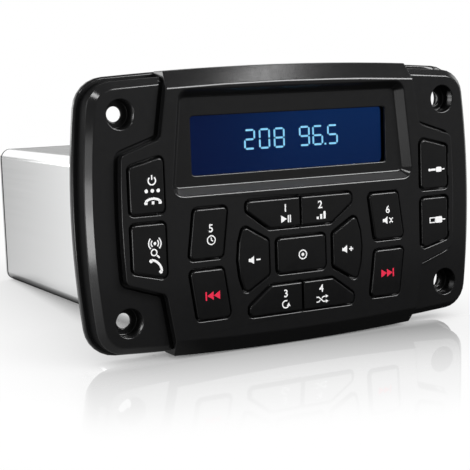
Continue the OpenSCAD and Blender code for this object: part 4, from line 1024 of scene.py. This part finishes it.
def rodNode(tree, wide, tall, rise, rings):
    rod = tree.nodes.new("GeometryNodeMeshCylinder")
    rod.fill_type = "TRIANGLE_FAN"
    rod.inputs["Vertices"].default_value = rearScrews["sides"]
    rod.inputs["Fill Segments"].default_value = rings
    tree.links.new(sumNode(tree, "MULTIPLY", wide, 0.5), rod.inputs["Radius"])
    tree.links.new(tall, rod.inputs["Depth"])
    return moveNode(tree, rod.outputs["Mesh"], sumNode(tree, "MULTIPLY", tall, rise))


def screwTree():
    tree, ids, start = startTree("crossScrews", {
        "Points": "Geometry", "Head": "Float", "Tall": "Float", "Dome": "Float", "Shank": "Float",
        "Long": "Float", "Slot": "Vector", "Finish": "Material"})
    head = rodNode(tree, start["Head"], start["Tall"], 0.5, rearScrews["headRings"])
    place = meshPlace(tree)
    radius = sumNode(tree, "MULTIPLY", start["Head"], 0.5)
    out = sumNode(tree, "ADD", sumNode(tree, "MULTIPLY", place["X"], place["X"]),
                  sumNode(tree, "MULTIPLY", place["Y"], place["Y"]))
    share = sumNode(tree, "DIVIDE", out, sumNode(tree, "MULTIPLY", radius, radius))
    drop = sumNode(tree, "MULTIPLY", sumNode(tree, "MULTIPLY", share, start["Dome"]), -1.0)
    halfTall = sumNode(tree, "MULTIPLY", start["Tall"], 0.5)
    dome = pushNode(tree, head, place["Z"], halfTall, vectorNode(tree, z=drop))
    recess = tree.nodes.new("GeometryNodeMeshBoolean")
    recess.operation = "DIFFERENCE"
    tree.links.new(dome, recess.inputs["Mesh 1"])
    for turn in (0.0, math.pi / 2):
        slot = tree.nodes.new("GeometryNodeMeshCube")
        tree.links.new(start["Slot"], slot.inputs["Size"])
        cutter = moveNode(tree, slot.outputs["Mesh"], start["Tall"], (0.0, 0.0, turn))
        tree.links.new(cutter, recess.inputs["Mesh 2"])
    whole = tree.nodes.new("GeometryNodeJoinGeometry")
    tree.links.new(recess.outputs["Mesh"], whole.inputs[0])
    tree.links.new(rodNode(tree, start["Shank"], start["Long"], rearScrews["shankRise"], 1), whole.inputs[0])
    backwards = moveNode(tree, whole.outputs[0], turn=(-math.pi / 2, 0.0, 0.0))  # heads to the rear
    endTree(tree, start, backwards)
    return tree, ids


def screwPiece():
    tree, ids = screwTree()
    lengths = ("head", "tall", "dome", "shank", "long")
    values = {ids[key.capitalize()]: rearScrews[key] * mm for key in lengths}
    values[ids["Slot"]] = [size * mm for size in rearScrews["slot"]]
    values[ids["Finish"]] = madeMaterials["steel"]
    points = pointMesh("screwPoints", [[c * mm for c in place] for place in rearScrews["places"]], {})
    obj = nodesToMesh("rear_screw_heads", points, tree, values)
    smooth(obj.data, rearScrews["smooth"])
    return settle(obj, rootBody, "steel", "rear_screws")


screwPiece()
print("rear screws:", len(rearScrews["places"]))

# the other nodes keep their CAD mesh and take the finish of their slot
for row in frame["record"]["subparts"]:
    node = nodes[row["node"]]
    node.data.materials.clear()
    node.data.materials.append(madeMaterials[row["material_slot"]])
